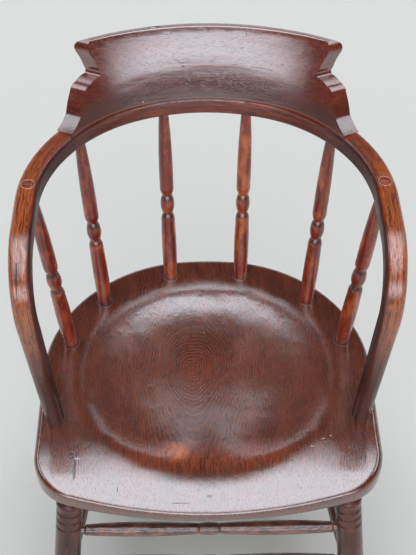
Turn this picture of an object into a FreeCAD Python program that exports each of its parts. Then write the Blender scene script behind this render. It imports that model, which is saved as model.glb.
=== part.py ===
"""Captain's chair: a saddled plank seat, a bent arm bow on six turned spindles,
a sawn and scooped crest, and four splayed legs tied by seven stretchers.

Millimetres.  +X is to the right of someone who faces the chair, +Y is towards its
back and +Z is up.  The origin is on the floor, under the middle of the chair.
Left and right in the names are as seen from in front of the chair.
"""
import FreeCAD, Part
import math
import os

import Sketcher
from FreeCAD import Placement, Rotation, Vector

SIZES = [
    # The seat plank
    ("seat_height", 420, "floor to the seat's rim"),
    ("seat_setback", -23.6, "middle of the seat's depth from the origin, towards the back"),
    ("seat_half_width", 233.5, "middle of the seat to its side"),
    ("seat_back_reach", 229, "seat middle to the middle of its back edge"),
    ("seat_front_reach", 215, "seat middle to the middle of its front edge"),
    ("seat_back_radius", 400, "curve of the back edge at its middle"),
    ("seat_shoulder_inset", 19.5, "middle of the chair to the centre of a back corner's curve"),
    ("seat_front_radius", 700, "curve of the front edge"),
    ("seat_corner_radius", 66, "curve of the front corners"),
    ("seat_thickness", 38, "plank thickness"),
    ("planing_allowance", 6, "wood above the rim that the scooping takes off"),
    ("seat_rim_round", 8, "easing of the upper edge at the back and sides"),
    ("seat_nose_round", 10, "easing of the upper edge in front"),
    ("seat_base_round", 5, "easing of the lower edge at the back and sides"),
    ("seat_nose_base_round", 10, "easing of the lower edge in front"),
    ("dish_depth", 17, "depth of the saddle below the rim"),
    ("dish_side_margin", 46.5, "side of the seat to the side of the saddle"),
    ("dish_back_reach", 168, "middle of the saddle to its back wall"),
    ("dish_front_reach", 205, "middle of the saddle to where it fades out in front"),
    ("dish_middle", 20, "middle of the saddle behind the seat middle"),
    ("pommel_rise", 3, "height of the ridge between the thighs"),
    ("pommel_middle", 70, "top of that ridge in front of the seat middle"),
    ("pommel_half_width", 38, "spread of that ridge sideways"),
    ("pommel_half_length", 60, "spread of that ridge front to back"),
    ("nose_drop", 17, "how far the front edge rolls down"),
    ("nose_reach", 116, "length of the roll, front to back"),
    # The arm bow
    ("bow_height", 271.5, "seat rim to the underside of the bow"),
    ("bow_thickness", 28, "height of the bow's section"),
    ("bow_width", 28, "width of the bow's section"),
    ("bow_round", 7, "rounding of the section's corners"),
    ("bow_half_width", 226.5, "middle of the chair to the middle of an arm"),
    ("bow_back_reach", 258.5, "seat middle to the middle of the bow's back"),
    ("bow_back_radius", 268, "centre line curve at the back"),
    ("bow_shoulder_inset", 21.5, "middle of the chair to the centre of a shoulder's curve"),
    ("arm_reach", 5, "how far an arm runs level in front of the seat middle"),
    ("arm_bend_radius", 75, "bend where the arm turns down"),
    ("arm_end_width", 24, "diameter of the arm where it enters the seat"),
    ("arm_end_inset", 24, "side of the seat to the arm's end"),
    ("arm_end_forward", 69.5, "arm's end in front of the seat middle"),
    # The crest
    ("crest_height", 90.5, "height of the crest above the bow"),
    ("crest_lean", 41, "how far the top stands behind the foot"),
    ("crest_hollow", 4.5, "hollow of the face halfway up"),
    ("crest_foot_thickness", 26, "thickness on the bow"),
    ("crest_top_thickness", 21, "thickness at the top, front to back"),
    ("crest_top_radius", 371, "front face curve at the top"),
    ("crest_top_shoulder", 262, "front face curve at the top's ends"),
    ("crest_top_fall", 8, "how far the top slopes down to the back"),
    ("crest_top_lead", 2, "how far in front of the face the slope starts"),
    ("crest_edge_round", 3, "easing of the top edges"),
    ("crest_back_round", 6, "easing of the top's back edge"),
    ("crest_span", 64, "angle of the sawn blank from its middle, in degrees"),
    ("crest_tail_angle", 54.9, "where the crest runs out on the bow, in degrees"),
    ("crest_tail_skew_angle", 1.3, "how far both ends sit to the right of even, in degrees"),
    ("crest_saw_angle", 59, "plan angle of the saw cut at the ends, in degrees"),
    ("crest_saw_tilt", 8, "fall of the saw cut to the outside, in degrees"),
    # The crest's end outline, seen along the saw cut, inwards and up from where it runs out
    ("tail_in", 25, "hollow of the tail, inwards"),
    ("tail_up", 12, "hollow of the tail, up"),
    ("flank_in", 45, "top of the lobe's flank, inwards"),
    ("flank_up", 34, "top of the lobe's flank, up"),
    ("lobe_in", 57, "top of the lobe, inwards"),
    ("lobe_up", 41, "top of the lobe, up"),
    ("notch_in", 73, "bottom of the notch, inwards"),
    ("notch_up", 46, "bottom of the notch, up"),
    ("ear_foot_in", 76.5, "foot of the ear, inwards"),
    ("ear_foot_up", 54, "foot of the ear, up"),
    ("ear_in", 77.5, "ear below its round corner, inwards"),
    ("ear_up", 75, "ear below its round corner, up"),
    ("ear_top_in", 97, "ear above its round corner, inwards"),
    ("tail_hollow", 1.5, "swelling of the tail, out of the wood"),
    ("flank_belly", 0.6, "swelling of the lobe's flank"),
    ("lobe_round", 1.6, "swelling of the lobe's round corner"),
    ("lobe_belly", 0.8, "swelling of the lobe's upper side"),
    ("notch_hollow", 1.6, "swelling of the notch, out of the wood"),
    ("ear_hollow", 0.8, "swelling of the ear's edge, out of the wood"),
    ("ear_round", 4.6, "swelling of the ear's round corner"),
    # The spindles
    ("spindle_inset", 30, "seat edge to the foot of a spindle"),
    ("spindle_foot_width", 19, "diameter at the foot"),
    ("spindle_foot_depth", 22, "depth of the foot in the seat"),
    ("spindle_neck_width", 14.2, "diameter at the two necks"),
    ("spindle_ball_width", 20.6, "diameter of the ball"),
    ("spindle_top_width", 13.4, "diameter at the top"),
    ("spindle_top_depth", 18, "depth of the top in the bow"),
    ("spindle_lower_neck", 114, "foot to the neck under the ball"),
    ("spindle_ball_height", 30.5, "neck to neck over the ball"),
    ("spindle_shoulder", 16, "length of the round shoulder beside a neck"),
    ("spindle_shoulder_width", 20.2, "diameter at the end of that shoulder"),
    ("spindle_belly", 1.2, "swelling of the spindle's long parts"),
    ("inner_foot_angle", 10.6, "place of the inner feet round the seat, in degrees"),
    ("middle_foot_angle", 45.6, "place of the middle feet round the seat, in degrees"),
    ("outer_foot_angle", 74.3, "place of the outer feet round the seat, in degrees"),
    ("inner_top_angle", 12.4, "place of the inner tops round the bow, in degrees"),
    ("middle_top_angle", 46.4, "place of the middle tops round the bow, in degrees"),
    ("outer_top_angle", 83.4, "place of the outer tops round the bow, in degrees"),
    ("outer_top_inset", 2.5, "bow's centre line to the outer tops, inwards"),
    # The legs
    ("front_leg_inset", 48.2, "side of the seat to a front leg's axis, underneath"),
    ("front_leg_reach", 170, "front leg's axis in front of the seat middle"),
    ("front_leg_side_angle", 5.9, "splay to the side, in degrees"),
    ("front_leg_end_angle", 10.4, "splay to the front, in degrees"),
    ("rear_leg_inset", 99.5, "side of the seat to a rear leg's axis, underneath"),
    ("rear_leg_reach", 116, "rear leg's axis behind the seat middle"),
    ("rear_leg_side_angle", 8, "splay to the side, in degrees"),
    ("rear_leg_end_angle", 13.5, "splay to the back, in degrees"),
    ("leg_tenon_length", 26, "depth of the leg in the seat"),
    ("leg_tenon_tip", 24, "diameter of the tenon at its tip"),
    ("leg_tenon_root", 28, "diameter of the tenon under the seat"),
    ("leg_width", 35.5, "diameter of the leg"),
    ("leg_neck", 4, "seat to the start of the leg's shoulder"),
    ("leg_shoulder", 11, "length of the leg's shoulder"),
    ("leg_shoulder_belly", 2.2, "swelling of the leg's shoulder"),
    ("sawn_allowance", 12, "length sawn off flush after a foot, a tenon or a wedge is in"),
    ("leg_swell", 2.2, "belly of the leg below the rings"),
    ("leg_foot_width", 26, "diameter at the floor"),
    ("ring_pitch", 14.2, "one scribed ring to the next"),
    ("ring_first", 24.5, "seat to the first ring"),
    ("ring_depth", 1.3, "depth of a ring"),
    ("ring_half_width", 1.6, "half the width of a ring"),
    # The stretchers
    ("front_upper_drop", 67, "seat underside to the upper front stretcher"),
    ("front_lower_drop", 135, "seat underside to the lower front stretcher"),
    ("side_upper_drop", 101, "seat underside to the upper side stretchers"),
    ("side_lower_drop", 176, "seat underside to the lower side stretchers"),
    ("rear_drop", 138, "seat underside to the rear stretcher"),
    ("stretcher_neck", 12.4, "diameter of a stretcher's tenon"),
    ("stretcher_past_axis", 6, "tenon's end past the leg's axis"),
    ("stretcher_shoulder", 22, "leg's axis to the stretcher's shoulder"),
    ("stretcher_rounding", 4.5, "length of the rounded shoulder"),
    ("stretcher_shoulder_belly", 0.75, "swelling of the rounded shoulder"),
    ("stretcher_end_width", 15.4, "diameter just inside the shoulder"),
    ("stretcher_waist", 15.2, "diameter beside the middle bead"),
    ("stretcher_belly", 2.4, "swelling between the bead and the shoulder"),
    ("bead_half_length", 13, "half the length of the middle bead"),
    ("bead_belly", 1.3, "swelling of the middle bead"),
    ("bead_groove", 1.1, "depth of the grooves beside the bead"),
    ("plain_belly", 2.6, "swelling of the side and rear stretchers"),
    # Wedges and screws
    ("wedge_thickness", 2.4, "thickness of a spindle wedge at its head"),
    ("wedge_tip", 0.6, "thickness of a spindle wedge at its tip"),
    ("wedge_depth", 13, "depth of a spindle wedge"),
    ("wedge_side_gap", 0.5, "side of a wedge to the side of its tenon"),
    ("arm_wedge_thickness", 4, "thickness of an arm wedge at its head"),
    ("arm_wedge_tip", 0.8, "thickness of an arm wedge at its tip"),
    ("arm_wedge_depth", 26, "depth of an arm wedge"),
    ("screw_angle", 18, "angle between the crest's screws, in degrees"),
    ("screw_shank", 4.4, "diameter of a crest screw"),
    ("screw_tip", 0.9, "diameter of the screw's blunt tip"),
    ("screw_head", 8.6, "diameter of the screw's head"),
    ("screw_head_height", 3, "height of the screw's cone head"),
    ("screw_in_crest", 11, "length of the screw in the crest"),
    ("screw_counterbore", 8, "depth of the screw head in the bow"),
    # Fits
    ("fit", 0.15, "clearance all round a tenon, a wedge or a screw"),
]
SCREWS = 5

os.makedirs("parts", exist_ok=True)
doc = FreeCAD.newDocument("captains_chair")
sheet = doc.addObject("Spreadsheet::Sheet", "Sizes")


class Tied:
    """A number that carries the sheet formula it comes from."""

    def __init__(self, value, formula=None):
        self.value = float(value)
        self.formula = formula or "({:.9g})".format(self.value)

    def __float__(self):
        return self.value

    def joined(self, other, value, sign):
        other = tie(other)
        return Tied(value(self.value, other.value), "({} {} {})".format(self.formula, sign, other.formula))

    def __add__(self, other):
        return self.joined(other, lambda a, b: a + b, "+")

    def __sub__(self, other):
        return self.joined(other, lambda a, b: a - b, "-")

    def __mul__(self, other):
        return self.joined(other, lambda a, b: a * b, "*")

    def __truediv__(self, other):
        return self.joined(other, lambda a, b: a / b, "/")

    def __radd__(self, other):
        return tie(other) + self

    def __rsub__(self, other):
        return tie(other) - self

    def __rmul__(self, other):
        return tie(other) * self

    def __neg__(self):
        return tie(0) - self


def tie(number):
    return number if isinstance(number, Tied) else Tied(number)


def root(number):
    return Tied(math.sqrt(number.value), "sqrt({})".format(number.formula))


def sine(degrees):
    return Tied(math.sin(math.radians(degrees.value)), "sin({} * 1 deg)".format(degrees.formula))


def cosine(degrees):
    return Tied(math.cos(math.radians(degrees.value)), "cos({} * 1 deg)".format(degrees.formula))


def tangent(degrees):
    return Tied(math.tan(math.radians(degrees.value)), "tan({} * 1 deg)".format(degrees.formula))


def fill_sheet():
    """Writes every driving dimension and returns them by name."""
    sizes = {}
    for row, (alias, value, meaning) in enumerate(SIZES, start=1):
        sheet.set("A{}".format(row), alias)
        sheet.set("B{}".format(row), str(value))
        sheet.set("C{}".format(row), meaning)
        sheet.setAlias("B{}".format(row), alias)
        sizes[alias] = Tied(value, "Sizes." + alias)
    doc.recompute()
    return sizes


size = fill_sheet()

# Heights and depths that several pieces share
middle_y = size["seat_setback"]
rim_z = size["seat_height"]
underside_z = rim_z - size["seat_thickness"]
bow_foot_z = rim_z + size["bow_height"]
bow_middle_z = bow_foot_z + size["bow_thickness"] / 2
bow_top_z = bow_foot_z + size["bow_thickness"]

# How far a drill or a saw cut runs past the wood, how far a trimming block reaches from the middle,
# and the share of a square's width that leaves its corners all but round
CUT_REACH = 60
ROOM = 400
NEARLY_HALF = 0.49


class Horseshoe:
    """A round-backed line: one back arc, two tighter shoulder arcs and straight sides.

    Angles turn from straight back (0) to straight sideways (90 degrees, plus to the right).
    """

    def __init__(self, half_width, back, back_radius, shoulder_radius):
        self.half_width = tie(half_width)
        self.back = tie(back)
        self.back_radius = tie(back_radius)
        self.shoulder_radius = tie(shoulder_radius)
        spread = self.back_radius - self.shoulder_radius
        turn_sine = (self.half_width - self.shoulder_radius) / spread
        self.turn = math.degrees(math.asin(turn_sine.value))
        self.back_centre_y = self.back - self.back_radius
        self.shoulder_x = spread * turn_sine
        self.shoulder_y = self.back_centre_y + spread * root(1 - turn_sine * turn_sine)

    def grown(self, amount):
        return Horseshoe(self.half_width + amount, self.back + amount,
                         self.back_radius + amount, self.shoulder_radius + amount)

    def place(self, degrees):
        """Where the line is at an angle to the right, as a pair."""
        degrees = tie(degrees)
        if degrees.value < self.turn:
            return (self.back_radius * sine(degrees),
                    self.back_centre_y + self.back_radius * cosine(degrees))
        return (self.shoulder_x + self.shoulder_radius * sine(degrees),
                self.shoulder_y + self.shoulder_radius * cosine(degrees))


def origin_plane(body, role):
    return next(feature for feature in body.Origin.OriginFeatures if feature.Role == role)


def add_body(name):
    return doc.addObject("PartDesign::Body", name)


def add_sketch(body, name, role, offset=None):
    sketch = body.newObject("Sketcher::SketchObject", name)
    sketch.AttachmentSupport = [(origin_plane(body, role), "")]
    sketch.MapMode = "FlatFace"
    if offset is not None:
        sketch.AttachmentOffset = offset
    return sketch


def lock(sketch, kind, *where, to):
    """Adds a dimension to a sketch and ties it to the sheet."""
    index = sketch.addConstraint(Sketcher.Constraint(kind, *where, to.value))
    sketch.setExpression("Constraints[{}]".format(index), to.formula)


def lock_point(sketch, geometry, end, x, y):
    """Fixes an end point at a place, on an axis where a coordinate is nought."""
    for kind, axis, to in (("DistanceX", -2, x), ("DistanceY", -1, y)):
        if abs(to.value) < 1e-9 and to.formula.startswith("("):
            sketch.addConstraint(Sketcher.Constraint("PointOnObject", geometry, end, axis))
        else:
            lock(sketch, kind, -1, 1, geometry, end, to=to)


def arc_between(start, end, belly):
    """The arc over a chord that swells by belly to the left of its direction, or right if minus."""
    chord = end - start
    left = Vector(-chord.y, chord.x, 0).normalize()
    swell = abs(belly)
    radius = chord.Length ** 2 / (8 * swell) + swell / 2
    centre = (start + end) * 0.5 - left * math.copysign(radius - swell, belly)
    first = math.atan2(start.y - centre.y, start.x - centre.x)
    last = math.atan2(end.y - centre.y, end.x - centre.x)
    if belly > 0:
        first, last = last, first
    if last < first:
        last += 2 * math.pi
    return Part.ArcOfCircle(Part.Circle(centre, Vector(0, 0, 1), radius), first, last)


def draw_outline(sketch, nodes):
    """Draws a closed outline.  A node is x, y and the belly of the edge that leaves it, or 0."""
    nodes = [(tie(x), tie(y), tie(belly)) for x, y, belly in nodes]
    following = nodes[1:] + nodes[:1]
    geometry = []
    for (x, y, belly), (next_x, next_y, _) in zip(nodes, following):
        start = Vector(x.value, y.value, 0)
        end = Vector(next_x.value, next_y.value, 0)
        straight = abs(belly.value) < 1e-6
        geometry.append(Part.LineSegment(start, end) if straight else arc_between(start, end, belly.value))
    sketch.addGeometry(geometry, False)
    starts = []
    ends = []
    for x, y, belly in nodes:
        backward = belly.value > 1e-6
        starts.append(2 if backward else 1)
        ends.append(1 if backward else 2)
    count = len(nodes)
    for index in range(count):
        after = (index + 1) % count
        sketch.addConstraint(Sketcher.Constraint("Coincident", index, ends[index], after, starts[after]))
    for index, (x, y, belly) in enumerate(nodes):
        lock_point(sketch, index, starts[index], x, y)
    for index, ((x, y, belly), (next_x, next_y, _)) in enumerate(zip(nodes, following)):
        if abs(belly.value) < 1e-6:
            continue
        swell = belly if belly.value > 0 else -belly
        across = next_x - x
        along = next_y - y
        radius = (across * across + along * along) / (swell * 8) + swell / 2
        lock(sketch, "Radius", index, to=radius)


def turn_on_lathe(body, name, nodes):
    """Revolves a half profile round the body's own Z axis.

    A node is a height, a diameter and the swelling of the surface up to the next node.
    """
    sketch = add_sketch(body, name + "_profile", "XZ_Plane")
    outline = [(0, nodes[0][0], 0)]
    for height, width, swell in nodes:
        outline.append((tie(width) / 2, height, -tie(swell)))
    outline.append((0, nodes[-1][0], 0))
    draw_outline(sketch, outline)
    turned = body.newObject("PartDesign::Revolution", name)
    turned.Profile = sketch
    turned.ReferenceAxis = (sketch, ["V_Axis"])
    turned.Angle = 360
    return turned


def put(piece, x, y, z, axis=None):
    """Moves a piece's origin to a place, and turns its Z axis along another direction."""
    turned = Rotation() if axis is None else Rotation(Vector(0, 0, 1), axis)
    place = [tie(x), tie(y), tie(z)]
    piece.Placement = Placement(Vector(*[c.value for c in place]), turned)
    for letter, coordinate in zip("xyz", place):
        piece.setExpression(".Placement.Base." + letter, coordinate.formula)


def between(start, end):
    """The direction and the distance from one place to another."""
    step = [tie(b) - tie(a) for a, b in zip(start, end)]
    length = root(step[0] * step[0] + step[1] * step[1] + step[2] * step[2])
    return [part / length for part in step], length


def along(start, direction, distance):
    return [tie(a) + part * distance for a, part in zip(start, direction)]


def as_vector(direction):
    return Vector(*[float(part) for part in direction])


def add_rod(name, width, start, direction, length):
    """A plain cylinder, the drill for a socket."""
    rod = doc.addObject("Part::Cylinder", name)
    rod.setExpression("Radius", (tie(width) / 2).formula)
    rod.setExpression("Height", tie(length).formula)
    put(rod, *start, axis=as_vector(direction))
    return rod


def add_block(name, x, y, z, length, width, height):
    block = doc.addObject("Part::Box", name)
    for side, amount in (("Length", length), ("Width", width), ("Height", height)):
        block.setExpression(side, tie(amount).formula)
    put(block, x, y, z)
    return block


def cut_away(label, base, tools):
    """The base less each tool in turn, as the finished piece called label."""
    piece = base
    for index, tool in enumerate(tools, start=1):
        cut = doc.addObject("Part::Cut", "{}_cut_{}".format(label, index))
        cut.Base = piece
        cut.Tool = tool
        piece = cut
    piece.Label = label
    return piece


# The lines in plan that the seat and the bow share
seat_edge = Horseshoe(size["seat_half_width"], size["seat_back_reach"],
                      size["seat_back_radius"], size["seat_half_width"] - size["seat_shoulder_inset"])
bow_line = Horseshoe(size["bow_half_width"], size["bow_back_reach"],
                     size["bow_back_radius"], size["bow_half_width"] - size["bow_shoulder_inset"])
foot_line = seat_edge.grown(-size["spindle_inset"])


def mirrored_x(pair, side):
    return (pair[0] * side, pair[1])


# Seat

def draw_seat_outline(sketch):
    """The plank's edge: round behind, straight at the sides, gently bowed in front."""
    edge = seat_edge
    corner = size["seat_corner_radius"]
    front_centre_y = size["seat_front_radius"] - size["seat_front_reach"]
    corner_x = edge.half_width - corner
    inner = size["seat_front_radius"] - corner
    corner_y = front_centre_y - root(inner * inner - corner_x * corner_x)
    lean = math.atan2(corner_x.value, (front_centre_y - corner_y).value)
    turn = math.radians(edge.turn)
    up = Vector(0, 0, 1)
    right = math.pi / 2

    def arc(x, y, radius, first, last):
        return Part.ArcOfCircle(Part.Circle(Vector(float(x), float(y), 0), up, float(radius)), first, last)

    def side_line(side):
        x = edge.half_width.value * side
        return Part.LineSegment(Vector(x, corner_y.value, 0), Vector(x, edge.shoulder_y.value, 0))

    shoulder = edge.shoulder_radius
    back = arc(0, edge.back_centre_y, edge.back_radius, right - turn, right + turn)
    right_shoulder = arc(edge.shoulder_x, edge.shoulder_y, shoulder, 0, right - turn)
    left_shoulder = arc(-edge.shoulder_x, edge.shoulder_y, shoulder, right + turn, math.pi)
    right_corner = arc(corner_x, corner_y, corner, lean - right, 0)
    left_corner = arc(-corner_x, corner_y, corner, -math.pi, -right - lean)
    front = arc(0, front_centre_y, size["seat_front_radius"], -right - lean, lean - right)
    sketch.addGeometry([back, left_shoulder, side_line(-1), left_corner, front, right_corner,
                        side_line(1), right_shoulder], False)
    joints = [(0, 2, 1, 1), (1, 2, 2, 2), (2, 1, 3, 1), (3, 2, 4, 1),
              (4, 2, 5, 1), (5, 2, 6, 1), (6, 2, 7, 1), (7, 2, 0, 1)]
    for joint in joints:
        sketch.addConstraint(Sketcher.Constraint("Tangent", *joint))
    for index in (0, 4):
        sketch.addConstraint(Sketcher.Constraint("PointOnObject", index, 3, -2))
    lock(sketch, "Radius", 0, to=edge.back_radius)
    lock(sketch, "DistanceY", -1, 1, 0, 3, to=edge.back_centre_y)
    lock(sketch, "Radius", 4, to=size["seat_front_radius"])
    lock(sketch, "DistanceY", -1, 1, 4, 3, to=front_centre_y)
    for shoulder_arc, line, corner_arc, side in ((1, 2, 3, -1), (7, 6, 5, 1)):
        lock(sketch, "Radius", shoulder_arc, to=shoulder)
        lock(sketch, "Radius", corner_arc, to=corner)
        lock(sketch, "DistanceX", -1, 1, line, 1, to=edge.half_width * side)


# How sharply the saddle's wall turns up to the rim, and the nose down to the front edge
DISH_WALL_POWER = 4
NOSE_ROLL_POWER = 2.2


dish_half_width = size["seat_half_width"] - size["dish_side_margin"]


def saddle_fall(x, y):
    """How far the worked top lies below the rim, in the seat's own frame."""
    from_middle = y - size["dish_middle"].value
    reach = size["dish_back_reach"] if from_middle > 0 else size["dish_front_reach"]
    out = math.hypot(x / dish_half_width.value, from_middle / reach.value)
    bowl = size["dish_depth"].value * (1 - out ** DISH_WALL_POWER) ** 2 if out < 1 else 0.0
    sideways = x / size["pommel_half_width"].value
    lengthways = (y + size["pommel_middle"].value) / size["pommel_half_length"].value
    pommel = size["pommel_rise"].value * math.exp(-sideways ** 2 - lengthways ** 2)
    past_roll_start = -y - (size["seat_front_reach"] - size["nose_reach"]).value
    share = max(past_roll_start / size["nose_reach"].value, 0.0)
    return bowl - pommel + size["nose_drop"].value * share ** NOSE_ROLL_POWER


def make_saddle_tool():
    """The wood that is scooped away: all that lies above one smooth saddle surface."""
    spare = CUT_REACH / 2
    half_width = size["seat_half_width"].value + spare
    back = size["seat_back_reach"].value + spare
    front = -size["seat_front_reach"].value - spare
    steps = 22
    rows = []
    for i in range(steps + 1):
        x = half_width * (2 * i / steps - 1)
        row = []
        for j in range(steps + 1):
            y = front + (back - front) * j / steps
            row.append(Vector(x, y, -saddle_fall(x, y)))
        rows.append(row)
    surface = Part.BSplineSurface()
    surface.interpolate(rows)
    solid = surface.toShape().extrude(Vector(0, 0, CUT_REACH))
    tool = doc.addObject("Part::Feature", "saddle_tool")
    tool.Shape = solid
    put(tool, 0, middle_y, rim_z)
    return tool


def eased(name, base, wanted, radius_at):
    """Rounds over those edges that wanted accepts, by the radius at each of their ends."""
    doc.recompute()
    fillet = doc.addObject("Part::Fillet", name)
    fillet.Base = base
    edges = []
    for index, edge in enumerate(base.Shape.Edges, start=1):
        if wanted(edge):
            ends = [edge.valueAt(parameter) for parameter in edge.ParameterRange]
            edges.append((index, radius_at(ends[0]), radius_at(ends[1])))
    fillet.Edges = edges
    return fillet


def make_seat(sockets):
    body = add_body("seat_plank")
    sketch = add_sketch(body, "seat_outline", "XY_Plane")
    draw_seat_outline(sketch)
    plank = body.newObject("PartDesign::Pad", "plank")
    plank.Profile = sketch
    plank.setExpression("Length", (size["seat_thickness"] + size["planing_allowance"]).formula)
    put(body, 0, middle_y, underside_z)
    doc.recompute()
    scooped = doc.addObject("Part::Cut", "scooped_plank")
    scooped.Base = body
    scooped.Tool = make_saddle_tool()
    just_above_base = underside_z.value + 1
    side_y = (middle_y - size["seat_front_reach"] + size["seat_corner_radius"]).value
    nose_y = side_y - size["seat_corner_radius"].value / 2

    def lower_edge(edge):
        return edge.BoundBox.ZMax < just_above_base

    def upper_edge(edge):
        return edge.BoundBox.ZMin > just_above_base

    def blend(side_round, nose_round, place):
        share = min(max((side_y - place.y) / (side_y - nose_y), 0), 1)
        return size[side_round].value * (1 - share) + size[nose_round].value * share

    def base_round(place):
        return blend("seat_base_round", "seat_nose_base_round", place)

    def rim_round(place):
        return blend("seat_rim_round", "seat_nose_round", place)

    soft_below = eased("soft_lower_edge", scooped, lower_edge, base_round)
    soft_above = eased("soft_upper_edge", soft_below, upper_edge, rim_round)
    return cut_away("seat", soft_above, sockets)


# Arm bow

def draw_rounded_square(sketch, centre, width, height, radius):
    """A rectangle with rounded corners, the section of the bent arm rail."""
    half_width = tie(width) / 2
    half_height = tie(height) / 2
    inset = radius
    belly = tie(radius) * (1 - math.sqrt(0.5))
    corners = []
    for side, level in ((1, -1), (1, 1), (-1, 1), (-1, -1)):
        x = centre[0] + half_width * side
        y = centre[1] + half_height * level
        beside = (x - inset * side, y, 0)
        above = (x, y - inset * level, 0)
        first, second = (beside, above) if side * level < 0 else (above, beside)
        corners.append((first[0], first[1], -belly))
        corners.append((second[0], second[1], 0))
    draw_outline(sketch, corners)


def arm_frame():
    """The tilted plane that an arm bends down in: start, forward, down and normal."""
    start = (bow_line.half_width, -size["arm_reach"], bow_middle_z - rim_z)
    end = (size["seat_half_width"] - size["arm_end_inset"], -size["arm_end_forward"], tie(0))
    across = end[0] - start[0]
    drop = start[2]
    slant = root(across * across + drop * drop)
    return start, end, slant, Vector(float(across / slant), 0, float(-drop / slant))


def add_arm_path(body):
    """The arm's centre line in its own plane: a bend, then straight down through the seat."""
    start, end, slant, down = arm_frame()
    forward = Vector(0, -1, 0)
    turned = Rotation(forward, down, forward.cross(down), "XYZ")
    radius = size["arm_bend_radius"].value
    run = float(start[1] - end[1])
    drop = float(slant)
    reach = math.hypot(run, drop - radius)
    turn = math.atan2(drop - radius, run) + math.asin(radius / reach)
    foot = Vector(run, drop, 0)
    spring = Vector(radius * math.sin(turn), radius - radius * math.cos(turn), 0)
    heading = (foot - spring).normalize()
    past = (size["seat_thickness"] + size["sawn_allowance"]).value
    tip = foot + heading * past
    sketch = add_sketch(body, "arm_path", "XY_Plane",
                        Placement(Vector(*[float(c) for c in start]), turned))
    bend = Part.ArcOfCircle(Part.Circle(Vector(0, radius, 0), Vector(0, 0, 1), radius),
                            -math.pi / 2, turn - math.pi / 2)
    sketch.addGeometry([bend, Part.LineSegment(spring, tip)], False)
    sketch.addConstraint(Sketcher.Constraint("Tangent", 0, 2, 1, 1))
    sketch.addConstraint(Sketcher.Constraint("Coincident", 0, 1, -1, 1))
    sketch.addConstraint(Sketcher.Constraint("PointOnObject", 0, 3, -2))
    lock(sketch, "Radius", 0, to=size["arm_bend_radius"])
    place = sketch.AttachmentOffset
    return sketch, place.multVec(tip), turned.multVec(heading), place.multVec(foot)


def add_bow_path(body):
    """The bow's centre line in plan: straight, shoulder, back, shoulder, straight."""
    line = bow_line
    height = bow_middle_z - rim_z
    sketch = add_sketch(body, "bow_path", "XY_Plane", Placement(Vector(0, 0, height.value), Rotation()))
    sketch.setExpression(".AttachmentOffset.Base.z", height.formula)
    turn = math.radians(line.turn)
    quarter = math.pi / 2
    up = Vector(0, 0, 1)
    arm_y = -size["arm_reach"].value
    geometry = []
    for side in (1, -1):
        x = line.half_width.value * side
        geometry.append(Part.LineSegment(Vector(x, arm_y, 0), Vector(x, line.shoulder_y.value, 0)))
        centre = Vector(line.shoulder_x.value * side, line.shoulder_y.value, 0)
        span = (0, quarter - turn) if side > 0 else (quarter + turn, math.pi)
        geometry.append(Part.ArcOfCircle(Part.Circle(centre, up, line.shoulder_radius.value), *span))
    back_centre = Vector(0, line.back_centre_y.value, 0)
    geometry.append(Part.ArcOfCircle(Part.Circle(back_centre, up, line.back_radius.value),
                                     quarter - turn, quarter + turn))
    sketch.addGeometry(geometry, False)
    for joint in ((0, 2, 1, 1), (1, 2, 4, 1), (4, 2, 3, 1), (3, 2, 2, 2)):
        sketch.addConstraint(Sketcher.Constraint("Tangent", *joint))
    sketch.addConstraint(Sketcher.Constraint("PointOnObject", 4, 3, -2))
    lock(sketch, "DistanceY", -1, 1, 4, 3, to=line.back_centre_y)
    lock(sketch, "Radius", 4, to=line.back_radius)
    for straight, shoulder, side in ((0, 1, 1), (2, 3, -1)):
        lock(sketch, "Radius", shoulder, to=line.shoulder_radius)
        lock(sketch, "DistanceX", -1, 1, straight, 1, to=line.half_width * side)
        lock(sketch, "DistanceY", -1, 1, straight, 1, to=-size["arm_reach"])
    return sketch


def make_bow_blank():
    """Bends one squared and rounded rail round the back and down into the seat."""
    body = add_body("bow_blank")
    path = add_bow_path(body)
    section = add_sketch(body, "rail_section", "XZ_Plane",
                         Placement(Vector(0, 0, size["arm_reach"].value), Rotation()))
    section.setExpression(".AttachmentOffset.Base.z", size["arm_reach"].formula)
    centre = (bow_line.half_width, bow_middle_z - rim_z)
    draw_rounded_square(section, centre, size["bow_width"], size["bow_thickness"], size["bow_round"])
    doc.recompute()
    rail = body.newObject("PartDesign::AdditivePipe", "rail")
    rail.Profile = section
    rail.Spine = (path, ["Edge{}".format(index + 1) for index in range(len(path.Shape.Edges))])
    doc.recompute()
    arm_path, tip, heading, foot = add_arm_path(body)
    sideways = (Vector(1, 0, 0) - heading * heading.x).normalize()
    turned = Rotation(sideways, heading.cross(sideways), heading, "XYZ")
    end_section = add_sketch(body, "arm_end_section", "XY_Plane", Placement(tip, turned))
    end_width = size["arm_end_width"]
    draw_rounded_square(end_section, (tie(0), tie(0)), end_width, end_width, end_width * NEARLY_HALF)
    doc.recompute()
    arm = body.newObject("PartDesign::AdditivePipe", "right_arm")
    arm.Profile = section
    arm.Spine = (arm_path, ["Edge1", "Edge2"])
    arm.Sections = [end_section]
    arm.Transformation = "Multisection"
    doc.recompute()
    other_arm = body.newObject("PartDesign::Mirrored", "left_arm")
    other_arm.Originals = [arm]
    other_arm.MirrorPlane = (origin_plane(body, "YZ_Plane"), [""])
    body.Tip = other_arm
    put(body, 0, middle_y, rim_z)
    return body, foot, heading


# Crest

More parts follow.
